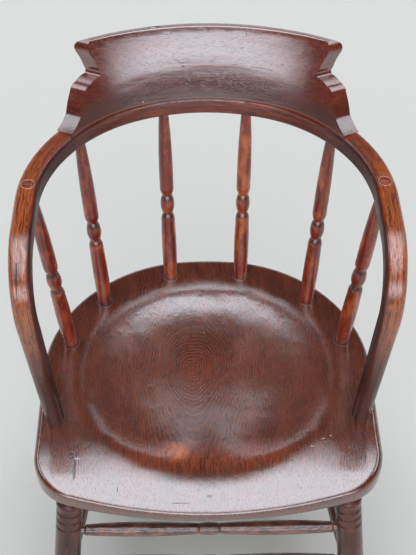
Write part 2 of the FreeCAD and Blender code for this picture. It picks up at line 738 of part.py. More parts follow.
def crest_sections():
    """Front face line, thickness and height of the foot, the middle and the top of the crest."""
    foot_thickness = size["crest_foot_thickness"]
    top_thickness = size["crest_top_thickness"]
    foot = bow_line.grown(-foot_thickness / 2)
    top_back = foot.back + size["crest_lean"]
    top_radius = size["crest_top_radius"]
    top_shoulder = size["crest_top_shoulder"]
    spread = bow_line.back_radius - bow_line.shoulder_radius
    turn_sine = (bow_line.half_width - bow_line.shoulder_radius) / spread

    def line(back, back_radius, shoulder_radius):
        return Horseshoe(shoulder_radius + (back_radius - shoulder_radius) * turn_sine,
                         back, back_radius, shoulder_radius)

    middle = line((foot.back + top_back) / 2 - size["crest_hollow"],
                  (foot.back_radius + top_radius) / 2 - size["crest_hollow"],
                  (foot.shoulder_radius + top_shoulder) / 2 - size["crest_hollow"])
    top = line(top_back, top_radius, top_shoulder)
    return [(foot, foot_thickness, tie(0)),
            (middle, (foot_thickness + top_thickness) / 2, size["crest_height"] / 2),
            (top, top_thickness, size["crest_height"])]


def draw_crest_section(sketch, line, thickness):
    """A curved bar in plan, between a front line and the same line grown by the thickness."""
    outer = line.grown(thickness)
    turn = math.radians(line.turn)
    quarter = math.pi / 2
    end = quarter - math.radians(size["crest_span"].value)
    up = Vector(0, 0, 1)
    geometry = []
    for edge in (line, outer):
        for side in (1, -1):
            centre = Vector(edge.shoulder_x.value * side, edge.shoulder_y.value, 0)
            span = (end, quarter - turn) if side > 0 else (quarter + turn, math.pi - end)
            geometry.append(Part.ArcOfCircle(Part.Circle(centre, up, edge.shoulder_radius.value), *span))
        centre = Vector(0, edge.back_centre_y.value, 0)
        geometry.append(Part.ArcOfCircle(Part.Circle(centre, up, edge.back_radius.value),
                                         quarter - turn, quarter + turn))
    geometry.append(Part.LineSegment(geometry[0].StartPoint, geometry[3].StartPoint))
    geometry.append(Part.LineSegment(geometry[1].EndPoint, geometry[4].EndPoint))
    sketch.addGeometry(geometry, False)
    for joint in ((0, 2, 2, 1), (2, 2, 1, 1), (3, 2, 5, 1), (5, 2, 4, 1)):
        sketch.addConstraint(Sketcher.Constraint("Tangent", *joint))
    for joint in ((6, 1, 0, 1), (6, 2, 3, 1), (7, 1, 1, 2), (7, 2, 4, 2)):
        sketch.addConstraint(Sketcher.Constraint("Coincident", *joint))
    for edge, first in ((line, 0), (outer, 3)):
        sketch.addConstraint(Sketcher.Constraint("PointOnObject", first + 2, 3, -2))
        lock(sketch, "DistanceY", -1, 1, first + 2, 3, to=edge.back_centre_y)
        lock(sketch, "Radius", first + 2, to=edge.back_radius)
        for side, index, tip in ((1, first, 1), (-1, first + 1, 2)):
            lock(sketch, "Radius", index, to=edge.shoulder_radius)
            lock(sketch, "DistanceX", -1, 1, index, 3, to=edge.shoulder_x * side)
            end_x, end_y = edge.place(size["crest_span"])
            lock(sketch, "DistanceY", -1, 1, index, tip, to=end_y)


def saw_frame(side):
    """Where an end's outline is drawn: its origin at the tail's tip, X inwards and Y up."""
    angle = math.radians(size["crest_saw_angle"].value)
    tilt = math.radians(size["crest_saw_tilt"].value)
    inwards = Vector(-math.cos(angle) * side, math.sin(angle), 0)
    level = math.cos(tilt)
    cut = Vector(math.sin(angle) * level * side, math.cos(angle) * level, -math.sin(tilt))
    back_line = bow_line.grown(size["crest_foot_thickness"] / 2)
    tip_x, tip_y = back_line.place(size["crest_tail_angle"] + size["crest_tail_skew_angle"] * side)
    up = cut.cross(inwards) * side
    turned = Rotation(inwards, up, inwards.cross(up), "XYZ")
    return Placement(Vector(tip_x.value * side, tip_y.value, 0), turned)


def draw_end_outline(sketch):
    """What the saw takes off an end: all outside the tail, the lobe, the notch and the ear."""
    clear = tie(CUT_REACH)
    ear_top = size["crest_height"]
    draw_outline(sketch, [
        (0, 0, -size["tail_hollow"]),
        (size["tail_in"], size["tail_up"], size["flank_belly"]),
        (size["flank_in"], size["flank_up"], size["lobe_round"]),
        (size["lobe_in"], size["lobe_up"], size["lobe_belly"]),
        (size["notch_in"], size["notch_up"], -size["notch_hollow"]),
        (size["ear_foot_in"], size["ear_foot_up"], -size["ear_hollow"]),
        (size["ear_in"], size["ear_up"], size["ear_round"]),
        (size["ear_top_in"], ear_top, 0),
        (size["ear_top_in"], ear_top + clear, 0),
        (-clear * 2, ear_top + clear, 0),
        (-clear * 2, -clear, 0),
        (0, -clear, 0),
    ])


def slope_crest_top(body):
    """Planes the top edge square to the leaning face."""
    line, thickness, height = crest_sections()[-1]
    sketch = add_sketch(body, "top_slope", "YZ_Plane",
                        Placement(Vector(line.back_centre_y.value, 0, 0), Rotation()))
    sketch.setExpression(".AttachmentOffset.Base.x", line.back_centre_y.formula)
    beyond = thickness * 2
    start = line.back_radius - size["crest_top_lead"]
    draw_outline(sketch, [
        (start, height, 0),
        (start + beyond, height - size["crest_top_fall"] * 2, 0),
        (start + beyond, height + beyond, 0),
        (start, height + beyond, 0),
    ])
    slope = body.newObject("PartDesign::Groove", "sloped_top")
    slope.Profile = sketch
    slope.ReferenceAxis = (sketch, ["V_Axis"])
    slope.Angle = 360
    return slope


def make_crest(screw_holes):
    """Scoops a thick board in three plan sections, then saws its ends and its top."""
    body = add_body("crest_blank")
    sections = []
    for index, (line, thickness, height) in enumerate(crest_sections()):
        sketch = add_sketch(body, "crest_plan_{}".format(index + 1), "XY_Plane",
                            Placement(Vector(0, 0, height.value), Rotation()))
        sketch.setExpression(".AttachmentOffset.Base.z", height.formula)
        draw_crest_section(sketch, line, thickness)
        sections.append(sketch)
    doc.recompute()
    blank = body.newObject("PartDesign::AdditiveLoft", "scooped_board")
    blank.Profile = sections[0]
    blank.Sections = sections[1:]
    doc.recompute()
    slope_crest_top(body)
    doc.recompute()
    for side, hand in ((-1, "left"), (1, "right")):
        outline = add_sketch(body, hand + "_end_outline", "XY_Plane", saw_frame(side))
        draw_end_outline(outline)
        sawn = body.newObject("PartDesign::Pocket", "sawn_{}_end".format(hand))
        sawn.Profile = outline
        sawn.Length = CUT_REACH * 3
        sawn.Midplane = True
        doc.recompute()
    put(body, 0, middle_y, bow_top_z)
    doc.recompute()
    top_z = (bow_top_z + size["crest_height"]).value
    shelf_z = top_z - (size["crest_top_fall"] + size["crest_edge_round"]).value
    longer_than_an_end = size["crest_top_thickness"].value * 1.5

    def top_edge(edge):
        return edge.BoundBox.ZMin > shelf_z and edge.Length > longer_than_an_end

    def top_round(place):
        behind = place.z < top_z - size["crest_top_fall"].value / 2
        return size["crest_back_round" if behind else "crest_edge_round"].value

    softened = eased("soft_crest_top", body, top_edge, top_round)
    return cut_away("crest", softened, screw_holes)


# Spindles

SPINDLES = ("inner", "middle", "outer")


def spindle_ends(row, side):
    """Where a spindle's axis leaves the seat and where it meets the bow."""
    foot = mirrored_x(foot_line.place(size[row + "_foot_angle"]), side)
    top_line = bow_line.grown(-size["outer_top_inset"]) if row == "outer" else bow_line
    top = mirrored_x(top_line.place(size[row + "_top_angle"]), side)
    return ((foot[0], middle_y + foot[1], rim_z), (top[0], middle_y + top[1], bow_foot_z))


def turn_spindle(name, row, side):
    """Two long bellies with a ball between sharp necks, and plain ends for the sockets."""
    foot, top = spindle_ends(row, side)
    axis, length = between(foot, top)
    lower_neck = size["spindle_lower_neck"]
    upper_neck = lower_neck + size["spindle_ball_height"]
    shoulder = size["spindle_shoulder"]
    neck = size["spindle_neck_width"]
    full = size["spindle_shoulder_width"]
    belly = size["spindle_belly"]
    top_depth = size["spindle_top_depth"]
    if row == "outer":
        top_depth = size["bow_thickness"] / axis[2] + size["sawn_allowance"]
    body = add_body(name + "_blank")
    turn_on_lathe(body, name + "_turning", [
        (-size["spindle_foot_depth"], size["spindle_foot_width"], 0),
        (0, size["spindle_foot_width"], belly),
        (lower_neck - shoulder, full, belly),
        (lower_neck, neck, (size["spindle_ball_width"] - neck) / 2),
        (upper_neck, neck, belly),
        (upper_neck + shoulder, full, belly),
        (length, size["spindle_top_width"], 0),
        (length + top_depth, size["spindle_top_width"], 0),
    ])
    put(body, *foot, axis=as_vector(axis))
    return body


def spindle_sockets(name, row, side):
    """The drills for a spindle's foot in the seat and for its top in the bow."""
    foot, top = spindle_ends(row, side)
    axis, length = between(foot, top)
    fit = size["fit"]
    reach = tie(CUT_REACH)
    foot_drill = add_rod(name + "_foot_drill", size["spindle_foot_width"] + fit * 2,
                         along(foot, axis, -size["spindle_foot_depth"]), axis, reach)
    top_length = reach if row == "outer" else size["spindle_top_depth"]
    back_off = size["sawn_allowance"]
    top_drill = add_rod(name + "_top_drill", size["spindle_top_width"] + fit * 2,
                        along(top, axis, -back_off), axis, top_length + back_off)
    return foot_drill, top_drill


# Wedges

def add_wedge(name, width, thickness, tip, depth, head, into, wide, grown=None):
    """A taper driven from head along into, with its width along wide and some left to saw off."""
    fit = tie(0) if grown is None else grown
    wedge = doc.addObject("Part::Wedge", name)
    half_width = tie(width) / 2 + fit
    half_head = tie(thickness) / 2 + fit
    half_tip = tie(tip) / 2 + fit
    for prop, amount in (("Xmin", -half_head), ("Xmax", half_head), ("X2min", -half_tip), ("X2max", half_tip),
                         ("Zmin", -half_width), ("Zmax", half_width), ("Z2min", -half_width),
                         ("Z2max", half_width), ("Ymin", -size["sawn_allowance"] - fit),
                         ("Ymax", tie(depth) + fit)):
        setattr(wedge, prop, amount.value)
        wedge.setExpression(prop, amount.formula)
    down = as_vector(into).normalize()
    across = as_vector(wide)
    across = (across - down * across.dot(down)).normalize()
    turned = Rotation(down.cross(across), down, across, "XYZ")
    place = [tie(c) for c in head]
    wedge.Placement = Placement(Vector(*[c.value for c in place]), turned)
    for letter, coordinate in zip("xyz", place):
        wedge.setExpression(".Placement.Base." + letter, coordinate.formula)
    return wedge


# Legs

class Leg:
    """One leg: which corner it stands at and where its axis runs."""

    def __init__(self, corner, side):
        self.corner = corner
        self.side = side
        self.name = "leg_{}_{}".format(corner, "right" if side > 0 else "left")
        self.end = -1 if corner == "front" else 1
        self.half_gap = size["seat_half_width"] - size[corner + "_leg_inset"]
        self.reach = size[corner + "_leg_reach"]
        self.side_slope = tangent(size[corner + "_leg_side_angle"])
        self.end_slope = tangent(size[corner + "_leg_end_angle"])

    def axis_at(self, drop):
        drop = tie(drop)
        return ((self.half_gap + drop * self.side_slope) * self.side,
                middle_y + (self.reach + drop * self.end_slope) * self.end,
                underside_z - drop)


LEGS = [Leg(corner, side) for corner in ("front", "rear") for side in (-1, 1)]


def leg_at(corner, side):
    return next(leg for leg in LEGS if leg.corner == corner and leg.side == side)


def turn_leg(leg):
    """A stout leg: tapered tenon, round shoulder, three scribed rings and a tapering foot."""
    ring = size["ring_half_width"]
    full = size["leg_width"]
    top = leg.axis_at(0)
    floor_point = leg.axis_at(underside_z)
    upwards, length = between(floor_point, top)
    nodes = [(-length - size["sawn_allowance"], size["leg_foot_width"], size["leg_swell"])]
    for turn in (2, 1, 0):
        level = -(size["ring_first"] + size["ring_pitch"] * turn)
        nodes.append((level - ring, full, 0))
        nodes.append((level, full - size["ring_depth"] * 2, 0))
        nodes.append((level + ring, full, 0))
    neck = size["leg_neck"]
    nodes += [
        (-(neck + size["leg_shoulder"]), full, size["leg_shoulder_belly"]),
        (-neck, size["leg_tenon_root"], 0),
        (0, size["leg_tenon_root"], 0),
        (size["leg_tenon_length"], size["leg_tenon_tip"], 0),
    ]
    body = add_body(leg.name + "_blank")
    turn_on_lathe(body, leg.name + "_turning", nodes)
    put(body, *top, axis=as_vector(upwards))
    return body


def leg_socket(leg):
    """The tapered reamer for a leg's hole in the seat's underside."""
    top = leg.axis_at(0)
    upwards, length = between(leg.axis_at(underside_z), top)
    fit = size["fit"]
    start = size["sawn_allowance"]
    taper = (size["leg_tenon_root"] - size["leg_tenon_tip"]) / 2 / size["leg_tenon_length"]
    reamer = doc.addObject("Part::Cone", leg.name + "_reamer")
    reamer.setExpression("Radius1", (size["leg_tenon_root"] / 2 + fit + taper * start).formula)
    reamer.setExpression("Radius2", (size["leg_tenon_tip"] / 2 + fit).formula)
    reamer.setExpression("Height", (size["leg_tenon_length"] + start).formula)
    put(reamer, *along(top, upwards, -start), axis=as_vector(upwards))
    return reamer


# Stretchers

STRETCHERS = [
    ("stretcher_front_upper", ("front", -1), ("front", 1), "front_upper_drop", True),
    ("stretcher_front_lower", ("front", -1), ("front", 1), "front_lower_drop", True),
    ("stretcher_left_upper", ("front", -1), ("rear", -1), "side_upper_drop", False),
    ("stretcher_left_lower", ("front", -1), ("rear", -1), "side_lower_drop", False),
    ("stretcher_right_upper", ("front", 1), ("rear", 1), "side_upper_drop", False),
    ("stretcher_right_lower", ("front", 1), ("rear", 1), "side_lower_drop", False),
    ("stretcher_rear", ("rear", -1), ("rear", 1), "rear_drop", False),
]


def turn_stretcher(name, first, second, drop, beaded):
    """Turns one stretcher and its mortise drill, from one leg's axis to another's."""
    start = leg_at(*first).axis_at(size[drop])
    end = leg_at(*second).axis_at(size[drop])
    axis, span = between(start, end)
    half = span / 2
    neck = size["stretcher_neck"]
    shoulder = half - size["stretcher_shoulder"]
    rounded = shoulder - size["stretcher_rounding"]
    tip = half + size["stretcher_past_axis"]
    rounding = size["stretcher_shoulder_belly"]
    profile = [(tip, neck), (shoulder, neck), (rounded, size["stretcher_end_width"])]
    bellies = [0, rounding]
    if beaded:
        bead = size["bead_half_length"]
        groove = size["bead_groove"]
        waist = size["stretcher_waist"]
        profile += [(bead + groove * 2, waist), (bead + groove, waist - groove * 2), (bead, waist)]
        bellies += [size["stretcher_belly"], 0, 0, size["bead_belly"]]
    else:
        bellies.append(size["plain_belly"])
    nodes = [(-height, width, belly) for (height, width), belly in zip(profile, bellies)]
    leaving = list(reversed(bellies[:-1])) + [0]
    nodes += [(height, width, belly) for (height, width), belly in zip(reversed(profile), leaving)]
    body = add_body(name)
    turn_on_lathe(body, name + "_turning", nodes)
    middle = along(start, axis, half)
    put(body, *middle, axis=as_vector(axis))
    fit = size["fit"]
    drill = add_rod(name + "_drill", neck + fit * 2, along(middle, axis, -tip), axis, tip * 2)
    return body, drill


# Crest screws

def screw_places():
    """Plan places of the screws, evenly round the bow."""
    places = []
    for step in range(-(SCREWS // 2), SCREWS // 2 + 1):
        side = 1 if step >= 0 else -1
        x, y = mirrored_x(bow_line.place(size["screw_angle"] * abs(step)), side)
        places.append((x, middle_y + y))
    return places


def make_screws():
    """Wood screws up through the bow into the crest, with the holes they need."""
    bodies = []
    bow_holes = []
    crest_holes = []
    fit = size["fit"]
    up = (tie(0), tie(0), tie(1))
    head_z = bow_foot_z + size["screw_counterbore"]
    length = bow_top_z - head_z + size["screw_in_crest"]
    shank = size["screw_shank"]
    head = size["screw_head"]
    for index, (x, y) in enumerate(screw_places(), start=1):
        name = "crest_screw_{}".format(index)
        body = add_body(name)
        turn_on_lathe(body, name + "_turning", [
            (0, head, 0),
            (size["screw_head_height"], shank, 0),
            (length - shank, shank, 0),
            (length, size["screw_tip"], 0),
        ])
        put(body, x, y, head_z)
        bodies.append(body)
        through = add_rod(name + "_pilot", shank + fit * 2, (x, y, bow_foot_z), up,
                          size["screw_counterbore"] + length + fit)
        sink = doc.addObject("Part::Cone", name + "_countersink")
        sink.setExpression("Radius1", (head / 2 + fit).formula)
        sink.setExpression("Radius2", (shank / 2 + fit).formula)
        sink.setExpression("Height", size["screw_head_height"].formula)
        put(sink, x, y, head_z)
        bore = add_rod(name + "_counterbore", head + fit * 2, (x, y, bow_foot_z - fit), up,
                       size["screw_counterbore"] + fit)
        bow_holes += [through, sink, bore]
        crest_holes.append(through)
    return bodies, bow_holes, crest_holes


def group(label, pieces):
    compound = doc.addObject("Part::Compound", label + "_group")
    compound.Links = pieces
    compound.Label = label
    return compound


# Assembly

pieces = []
seat_tools = []
screw_bodies, bow_tools, crest_tools = make_screws()
bow_blank, arm_foot, arm_heading = make_bow_blank()

above_bow = add_block("above_the_bow", -ROOM, -ROOM, bow_top_z, ROOM * 2, ROOM * 2, CUT_REACH)
below_seat = add_block("below_the_seat", -ROOM, -ROOM, underside_z - CUT_REACH,
                       ROOM * 2, ROOM * 2, CUT_REACH)
below_floor = add_block("below_the_floor", -ROOM, -ROOM, -CUT_REACH,
                        ROOM * 2, ROOM * 2, CUT_REACH)

spindle_wedges = []
for row in SPINDLES:
    for side, hand in ((-1, "left"), (1, "right")):
        name = "spindle_{}_{}".format(hand, row)
        blank = turn_spindle(name, row, side)
        foot_drill, top_drill = spindle_sockets(name, row, side)
        seat_tools.append(foot_drill)
        bow_tools.append(top_drill)
        if row == "outer":
            foot, top = spindle_ends(row, side)
            axis, length = between(foot, top)
            head = along(top, axis, size["bow_thickness"] / axis[2])
            into = [-part for part in axis]
            shape = (size["wedge_thickness"], size["wedge_tip"], size["wedge_depth"])
            wedge_width = size["spindle_top_width"] - size["wedge_side_gap"] * 2
            wedge = add_wedge(name + "_wedge", wedge_width, *shape, head, into, (1, 0, 0))
            spindle_wedges.append(cut_away(name + "_flush_wedge", wedge, [above_bow]))
            kerf = add_wedge(name + "_kerf", wedge_width * 2, *shape, head, into, (1, 0, 0), size["fit"])
            pieces.append(cut_away(name, blank, [above_bow, kerf]))
        else:
            blank.Label = name
            pieces.append(blank)

arm_wedges = []
arm_kerfs = []
arm_slope = arm_heading / abs(arm_heading.z)
for side, hand in ((-1, "left"), (1, "right")):
    heading = (arm_heading.x * side, arm_heading.y, arm_heading.z)
    exit_point = arm_foot + arm_slope * size["seat_thickness"].value
    head = (tie(exit_point.x * side), middle_y + exit_point.y, underside_z)
    into = [-part for part in heading]
    shape = (size["arm_wedge_thickness"], size["arm_wedge_tip"], size["arm_wedge_depth"])
    width = size["arm_end_width"] - size["wedge_side_gap"] * 2
    wedge = add_wedge("arm_wedge_" + hand, width, *shape, head, into, (1, 0, 0))
    arm_wedges.append(cut_away("flush_arm_wedge_" + hand, wedge, [below_seat]))
    arm_kerfs.append(add_wedge("arm_kerf_" + hand, width * 2, *shape, head, into, (1, 0, 0), size["fit"]))
    socket_top = (arm_foot.x * side, middle_y + arm_foot.y, rim_z)
    start = along(socket_top, [tie(part) for part in into], CUT_REACH / 2)
    seat_tools.append(add_rod("arm_drill_" + hand, size["arm_end_width"] + size["fit"] * 2,
                              start, heading, CUT_REACH * 2))

pieces.append(cut_away("arm_bow", bow_blank, bow_tools + arm_kerfs + [below_seat]))

leg_tools = {leg.name: [below_floor] for leg in LEGS}
for name, first, second, drop, beaded in STRETCHERS:
    body, drill = turn_stretcher(name, first, second, drop, beaded)
    pieces.append(body)
    for corner in (first, second):
        leg_tools[leg_at(*corner).name].append(drill)
for leg in LEGS:
    seat_tools.append(leg_socket(leg))
    pieces.append(cut_away(leg.name, turn_leg(leg), leg_tools[leg.name]))

pieces.append(make_seat(seat_tools))
pieces.append(make_crest(crest_tools))
pieces.append(group("spindle_wedges", spindle_wedges))
pieces.append(group("arm_wedges", arm_wedges))
pieces.append(group("crest_screws", screw_bodies))


def check_and_write():
    """Stops on anything that failed, and writes each piece under its own name."""
    doc.recompute()
    failed = [item.Name for item in doc.Objects if {"Invalid", "Error"} & set(item.State)]
    if failed:
        raise RuntimeError("these did not build: " + ", ".join(failed))
    for piece in pieces:
        shape = piece.Shape
        if shape.isNull() or not shape.isValid():
            raise RuntimeError(piece.Label + " has no valid shape")
        shape.exportStep("parts/{}.step".format(piece.Label))
        print("{:24} solids {}  volume {:10.0f} mm3".format(piece.Label, len(shape.Solids), shape.Volume))


check_and_write()
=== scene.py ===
# %% [markdown]
# # An old captain's chair
#
# The chair is one bent rail on turned spindles, over a plank seat that is scooped to sit in.
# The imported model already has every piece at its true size, in metres, so this lesson is about
# finish: old varnish over open-grained wood, rubbed through where hands and legs have worn it.

# %% Load the frame
import math

import bpy
import numpy as np
from mathutils import Matrix, Vector


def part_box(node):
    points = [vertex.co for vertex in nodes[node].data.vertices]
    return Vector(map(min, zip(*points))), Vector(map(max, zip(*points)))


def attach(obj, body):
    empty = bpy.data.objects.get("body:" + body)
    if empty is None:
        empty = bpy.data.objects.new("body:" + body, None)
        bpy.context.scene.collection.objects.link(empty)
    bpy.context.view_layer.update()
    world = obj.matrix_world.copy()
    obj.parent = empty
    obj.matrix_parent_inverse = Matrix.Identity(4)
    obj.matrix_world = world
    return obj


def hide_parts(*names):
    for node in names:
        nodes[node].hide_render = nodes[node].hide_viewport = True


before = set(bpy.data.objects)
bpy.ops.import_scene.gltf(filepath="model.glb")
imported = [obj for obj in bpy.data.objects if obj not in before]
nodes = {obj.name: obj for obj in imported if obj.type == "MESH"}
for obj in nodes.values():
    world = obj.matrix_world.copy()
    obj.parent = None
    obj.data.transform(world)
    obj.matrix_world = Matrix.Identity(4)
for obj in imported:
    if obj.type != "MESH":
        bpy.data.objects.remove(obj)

MM = 0.001
scene = bpy.context.scene
scene.view_settings.view_transform = "Standard"
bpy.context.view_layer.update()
print("pieces in the frame:", len(nodes))

# %% [markdown]
# ## The camera
#
# The photograph looks steeply down from in front.  The lens and the place were found by fitting
# the chair's outline, so the camera is set from its place, its pitch and two small turns.

# %% Camera
FOCAL_PIXELS = 1100
FRAME_HEIGHT_PIXELS = 555
SENSOR = 36.0

camera_data = bpy.data.cameras.new("photo_camera")
camera_data.sensor_width = SENSOR
camera_data.lens = FOCAL_PIXELS / FRAME_HEIGHT_PIXELS * SENSOR
camera = bpy.data.objects.new("photo_camera", camera_data)
scene.collection.objects.link(camera)
scene.camera = camera

eye = Vector((-16.7, -983.3, 1651.4)) * MM
pitch_down = math.radians(46.97)
yaw = Matrix.Rotation(math.radians(-1.03), 4, "Z")
pitch = Matrix.Rotation(math.pi / 2 - pitch_down, 4, "X")
roll = Matrix.Rotation(math.radians(0.18), 4, "Z")
camera.matrix_world = Matrix.Translation(eye) @ yaw @ pitch @ roll
print("lens in mm:", round(camera_data.lens, 2))

# %% [markdown]
# ## Colours and a way to add nodes
#
# Colours are written as sRGB hex values, as a paint chart gives them.  A shader wants them
# linear, so one function turns them.  Another adds any shader node with its settings and links.

# %% Colour and node helpers
def linear(hex_colour):
    """An sRGB hex value as a linear colour."""
    channels = [int(hex_colour[i:i + 2], 16) / 255 for i in (1, 3, 5)]
    linear_channels = [c / 12.92 if c <= 0.04045 else ((c + 0.055) / 1.055) ** 2.4 for c in channels]
    return tuple(linear_channels) + (1.0,)


def add_node(tree, kind, settings=None, **inputs):
    """Adds a node; an input is a value, or a socket to link from.

    Inputs go by name with _ for a space, or by number, such as _0, where names repeat.
    """
    node = tree.nodes.new(kind)
    for name, value in (settings or {}).items():
        setattr(node, name, value)
    for name, value in inputs.items():
        key = int(name[1:]) if name[1:].isdigit() else name.replace("_", " ")
        if isinstance(value, bpy.types.NodeSocket):
            tree.links.new(value, node.inputs[key])
        else:
            node.inputs[key].default_value = value
    return node

# %% [markdown]
# ## Light and floor
#
# Gloss shows what stands around a thing, so the varnish is lit as a studio would light it: a wide
# soft panel overhead, one at each side, another low in front, a pale horizon, and dark cloth for
# the rest.  Surfaces that mirror a panel carry a broad pale sheen, and the others stay deep.
#
# The panels are painted on the world.  How far a direction leans from straight up, sideways and
# backwards, is the tangent of its angle, and each edge of a panel is a range of such leans, or of
# the direction's own parts.

# %% Studio
SOFT = {"interpolation_type": "SMOOTHSTEP"}
MULTIPLY = {"operation": "MULTIPLY"}
MIX_COLOUR = {"data_type": "RGBA"}
DARK_CLOTH = 0.03
LOWEST_UPWARD = 0.05

world = bpy.data.worlds.new("studio")
scene.world = world
world.use_nodes = True
sky = world.node_tree
sky.nodes.clear()
direction = add_node(sky, "ShaderNodeTexCoord").outputs["Generated"]
parts = add_node(sky, "ShaderNodeSeparateXYZ", Vector=direction).outputs


def edge(value, dark_at, bright_at):
    """A soft edge of a panel: 0 where the value is dark_at and 1 where it is bright_at."""
    return add_node(sky, "ShaderNodeMapRange", SOFT, Value=value,
                    From_Min=dark_at, From_Max=bright_at).outputs[0]


def panel(radiance, edges):
    """A soft panel of light: all its edges multiplied, times how bright it is."""
    level = radiance
    for soft_edge in edges:
        level = add_node(sky, "ShaderNodeMath", MULTIPLY, _0=soft_edge, _1=level).outputs[0]
    return level


def lean(axis):
    """How far a direction leans from straight up along an axis, as a tangent."""
    upward = add_node(sky, "ShaderNodeMath", {"operation": "MAXIMUM"}, _0=parts["Z"],
                      _1=LOWEST_UPWARD).outputs[0]
    return add_node(sky, "ShaderNodeMath", {"operation": "DIVIDE"}, _0=parts[axis], _1=upward).outputs[0]


sideways = add_node(sky, "ShaderNodeMath", {"operation": "ABSOLUTE"}, _0=lean("X")).outputs[0]
backwards = lean("Y")
overhead = panel(4.3, [edge(sideways, 0.55, 0.22), edge(backwards, -1.35, -0.3),
                       edge(backwards, 0.7, 0.2)])
at_the_sides = panel(2.6, [edge(sideways, 0.6, 0.8), edge(sideways, 1.5, 1.2),
                           edge(backwards, -0.2, 0.05), edge(backwards, 1.15, 0.85)])
low_in_front = panel(4.0, [edge(parts["Z"], 0.08, 0.28), edge(parts["Z"], 0.64, 0.48),
                           edge(parts["Y"], -0.6, -0.93)])
horizon = panel(0.24, [edge(parts["Z"], 0.25, 0.06)])
paler_behind = panel(0.36, [edge(parts["Z"], 0.3, 0.12), edge(parts["Y"], -0.2, 0.2)])

level = DARK_CLOTH
for added in (overhead, at_the_sides, low_in_front, horizon, paler_behind):
    level = add_node(sky, "ShaderNodeMath", {"operation": "ADD"}, _0=level, _1=added).outputs[0]
glow = add_node(sky, "ShaderNodeBackground", Color=linear("#ebf2fc"), Strength=level)
add_node(sky, "ShaderNodeOutputWorld", Surface=glow.outputs[0])

# A weak lamp behind the chair, in metres and watts, draws its edges off the floor
bpy.ops.object.light_add(type="AREA", location=(0, 3.4, 1.5), rotation=(math.radians(-72), 0, 0))
rear_soft_box = bpy.context.object
rear_soft_box.name = "rear_soft_box"
rear_soft_box.data.shape = "RECTANGLE"
rear_soft_box.data.size = 3.0
rear_soft_box.data.size_y = 1.0
rear_soft_box.data.energy = 9
rear_soft_box.visible_camera = False

bpy.ops.object.select_all(action="DESELECT")
bpy.ops.mesh.primitive_plane_add(size=30, location=(0, 0, 0))
floor = bpy.context.active_object
floor.name = "studio_floor"
paper = bpy.data.materials.new("matt_backdrop_paper")
paper.use_nodes = True
paper_shader = paper.node_tree.nodes["Principled BSDF"]
paper_shader.inputs["Base Color"].default_value = linear("#cac7be")
paper_shader.inputs["Roughness"].default_value = 0.9
floor.data.materials.append(paper)

# %% [markdown]
# ## Patterns for old wood
#
# Every wood here is built from a few masks, each with a real size in millimetres: noise that is
# drawn out along the grain, round spots such as pits and knots, and thin lines such as cracks.
# A mask is 1 where its mark is and 0 elsewhere.  Marks then paint the colour and dent the surface.

# %% Masks
def over(tree, value, none_at, full_at):
    """A mask that comes up softly as a value goes from none_at to full_at."""
    return add_node(tree, "ShaderNodeMapRange", SOFT, Value=value,
                    From_Min=none_at, From_Max=full_at).outputs[0]


def distance(tree, place, point):
    """How far each place is from a point."""
    return add_node(tree, "ShaderNodeVectorMath", {"operation": "DISTANCE"}, _0=place,
                    _1=point).outputs["Value"]


def figure(tree, place, size, low, high, detail=3.0):
    """A mask of blotches, streaks or pores.  Size is one of them in millimetres, in X, Y and Z."""
    drawn_out = add_node(tree, "ShaderNodeMapping", {"vector_type": "TEXTURE"}, Vector=place, Scale=size)
    noise = add_node(tree, "ShaderNodeTexNoise", Vector=drawn_out.outputs[0], Scale=1.0, Detail=detail,
                     Roughness=0.6)
    return over(tree, noise.outputs[0], low, high)


def spot(tree, place, centre, inner, outer):
    """A mask that is full within inner millimetres of a place and gone beyond outer."""
    return over(tree, distance(tree, place, centre), outer, inner)


def crack(tree, place, start, end, half_width):
    """A mask along the straight line between two places."""
    start = Vector(start)
    step = Vector(end) - start
    away = add_node(tree, "ShaderNodeVectorMath", {"operation": "SUBTRACT"}, _0=place, _1=start)
    reach = add_node(tree, "ShaderNodeVectorMath", {"operation": "DOT_PRODUCT"}, _0=away.outputs[0],
                     _1=step / step.length_squared)
    share = add_node(tree, "ShaderNodeClamp", Value=reach.outputs["Value"])
    nearest = add_node(tree, "ShaderNodeVectorMath", {"operation": "SCALE"}, _0=step,
                       Scale=share.outputs[0])
    aside = distance(tree, away.outputs[0], nearest.outputs[0])
    return over(tree, aside, half_width, half_width * 0.3)


def cracks(tree, place, marks, half_width):
    """A mask along every mark, each given by its start and end."""
    return joined(tree, "MAXIMUM", [crack(tree, place, start, end, half_width) for start, end in marks])


def between(tree, value, rise_from, rise_to, fall_from, fall_to):
    """A mask that comes up over one range of a value and goes down over another."""
    up = over(tree, value, rise_from, rise_to)
    down = over(tree, value, fall_to, fall_from)
    return add_node(tree, "ShaderNodeMath", MULTIPLY, _0=up, _1=down).outputs[0]


def joined(tree, operation, masks):
    """Several masks as one: MAXIMUM is any of them, MULTIPLY all of them."""
    whole = masks[0]
    for mask in masks[1:]:
        whole = add_node(tree, "ShaderNodeMath", {"operation": operation}, _0=whole, _1=mask).outputs[0]
    return whole


def painted(tree, colour, layers):
    """Lays tones over a colour in turn.  A layer is a mask, a tone and how strongly it covers."""
    for mask, tone_hex, cover in layers:
        share = add_node(tree, "ShaderNodeMath", MULTIPLY, _0=mask, _1=cover)
        colour = add_node(tree, "ShaderNodeMix", MIX_COLOUR, _0=share.outputs[0],
                          _6=colour, _7=linear(tone_hex)).outputs[2]
    return colour


def raised(tree, layers):
    """The surface's height in millimetres.  A layer is a mask and how far it stands up."""
    height = 0.0
    for mask, rise in layers:
        height = add_node(tree, "ShaderNodeMath", {"operation": "MULTIPLY_ADD"}, _0=mask, _1=rise,
                          _2=height).outputs[0]
    return height


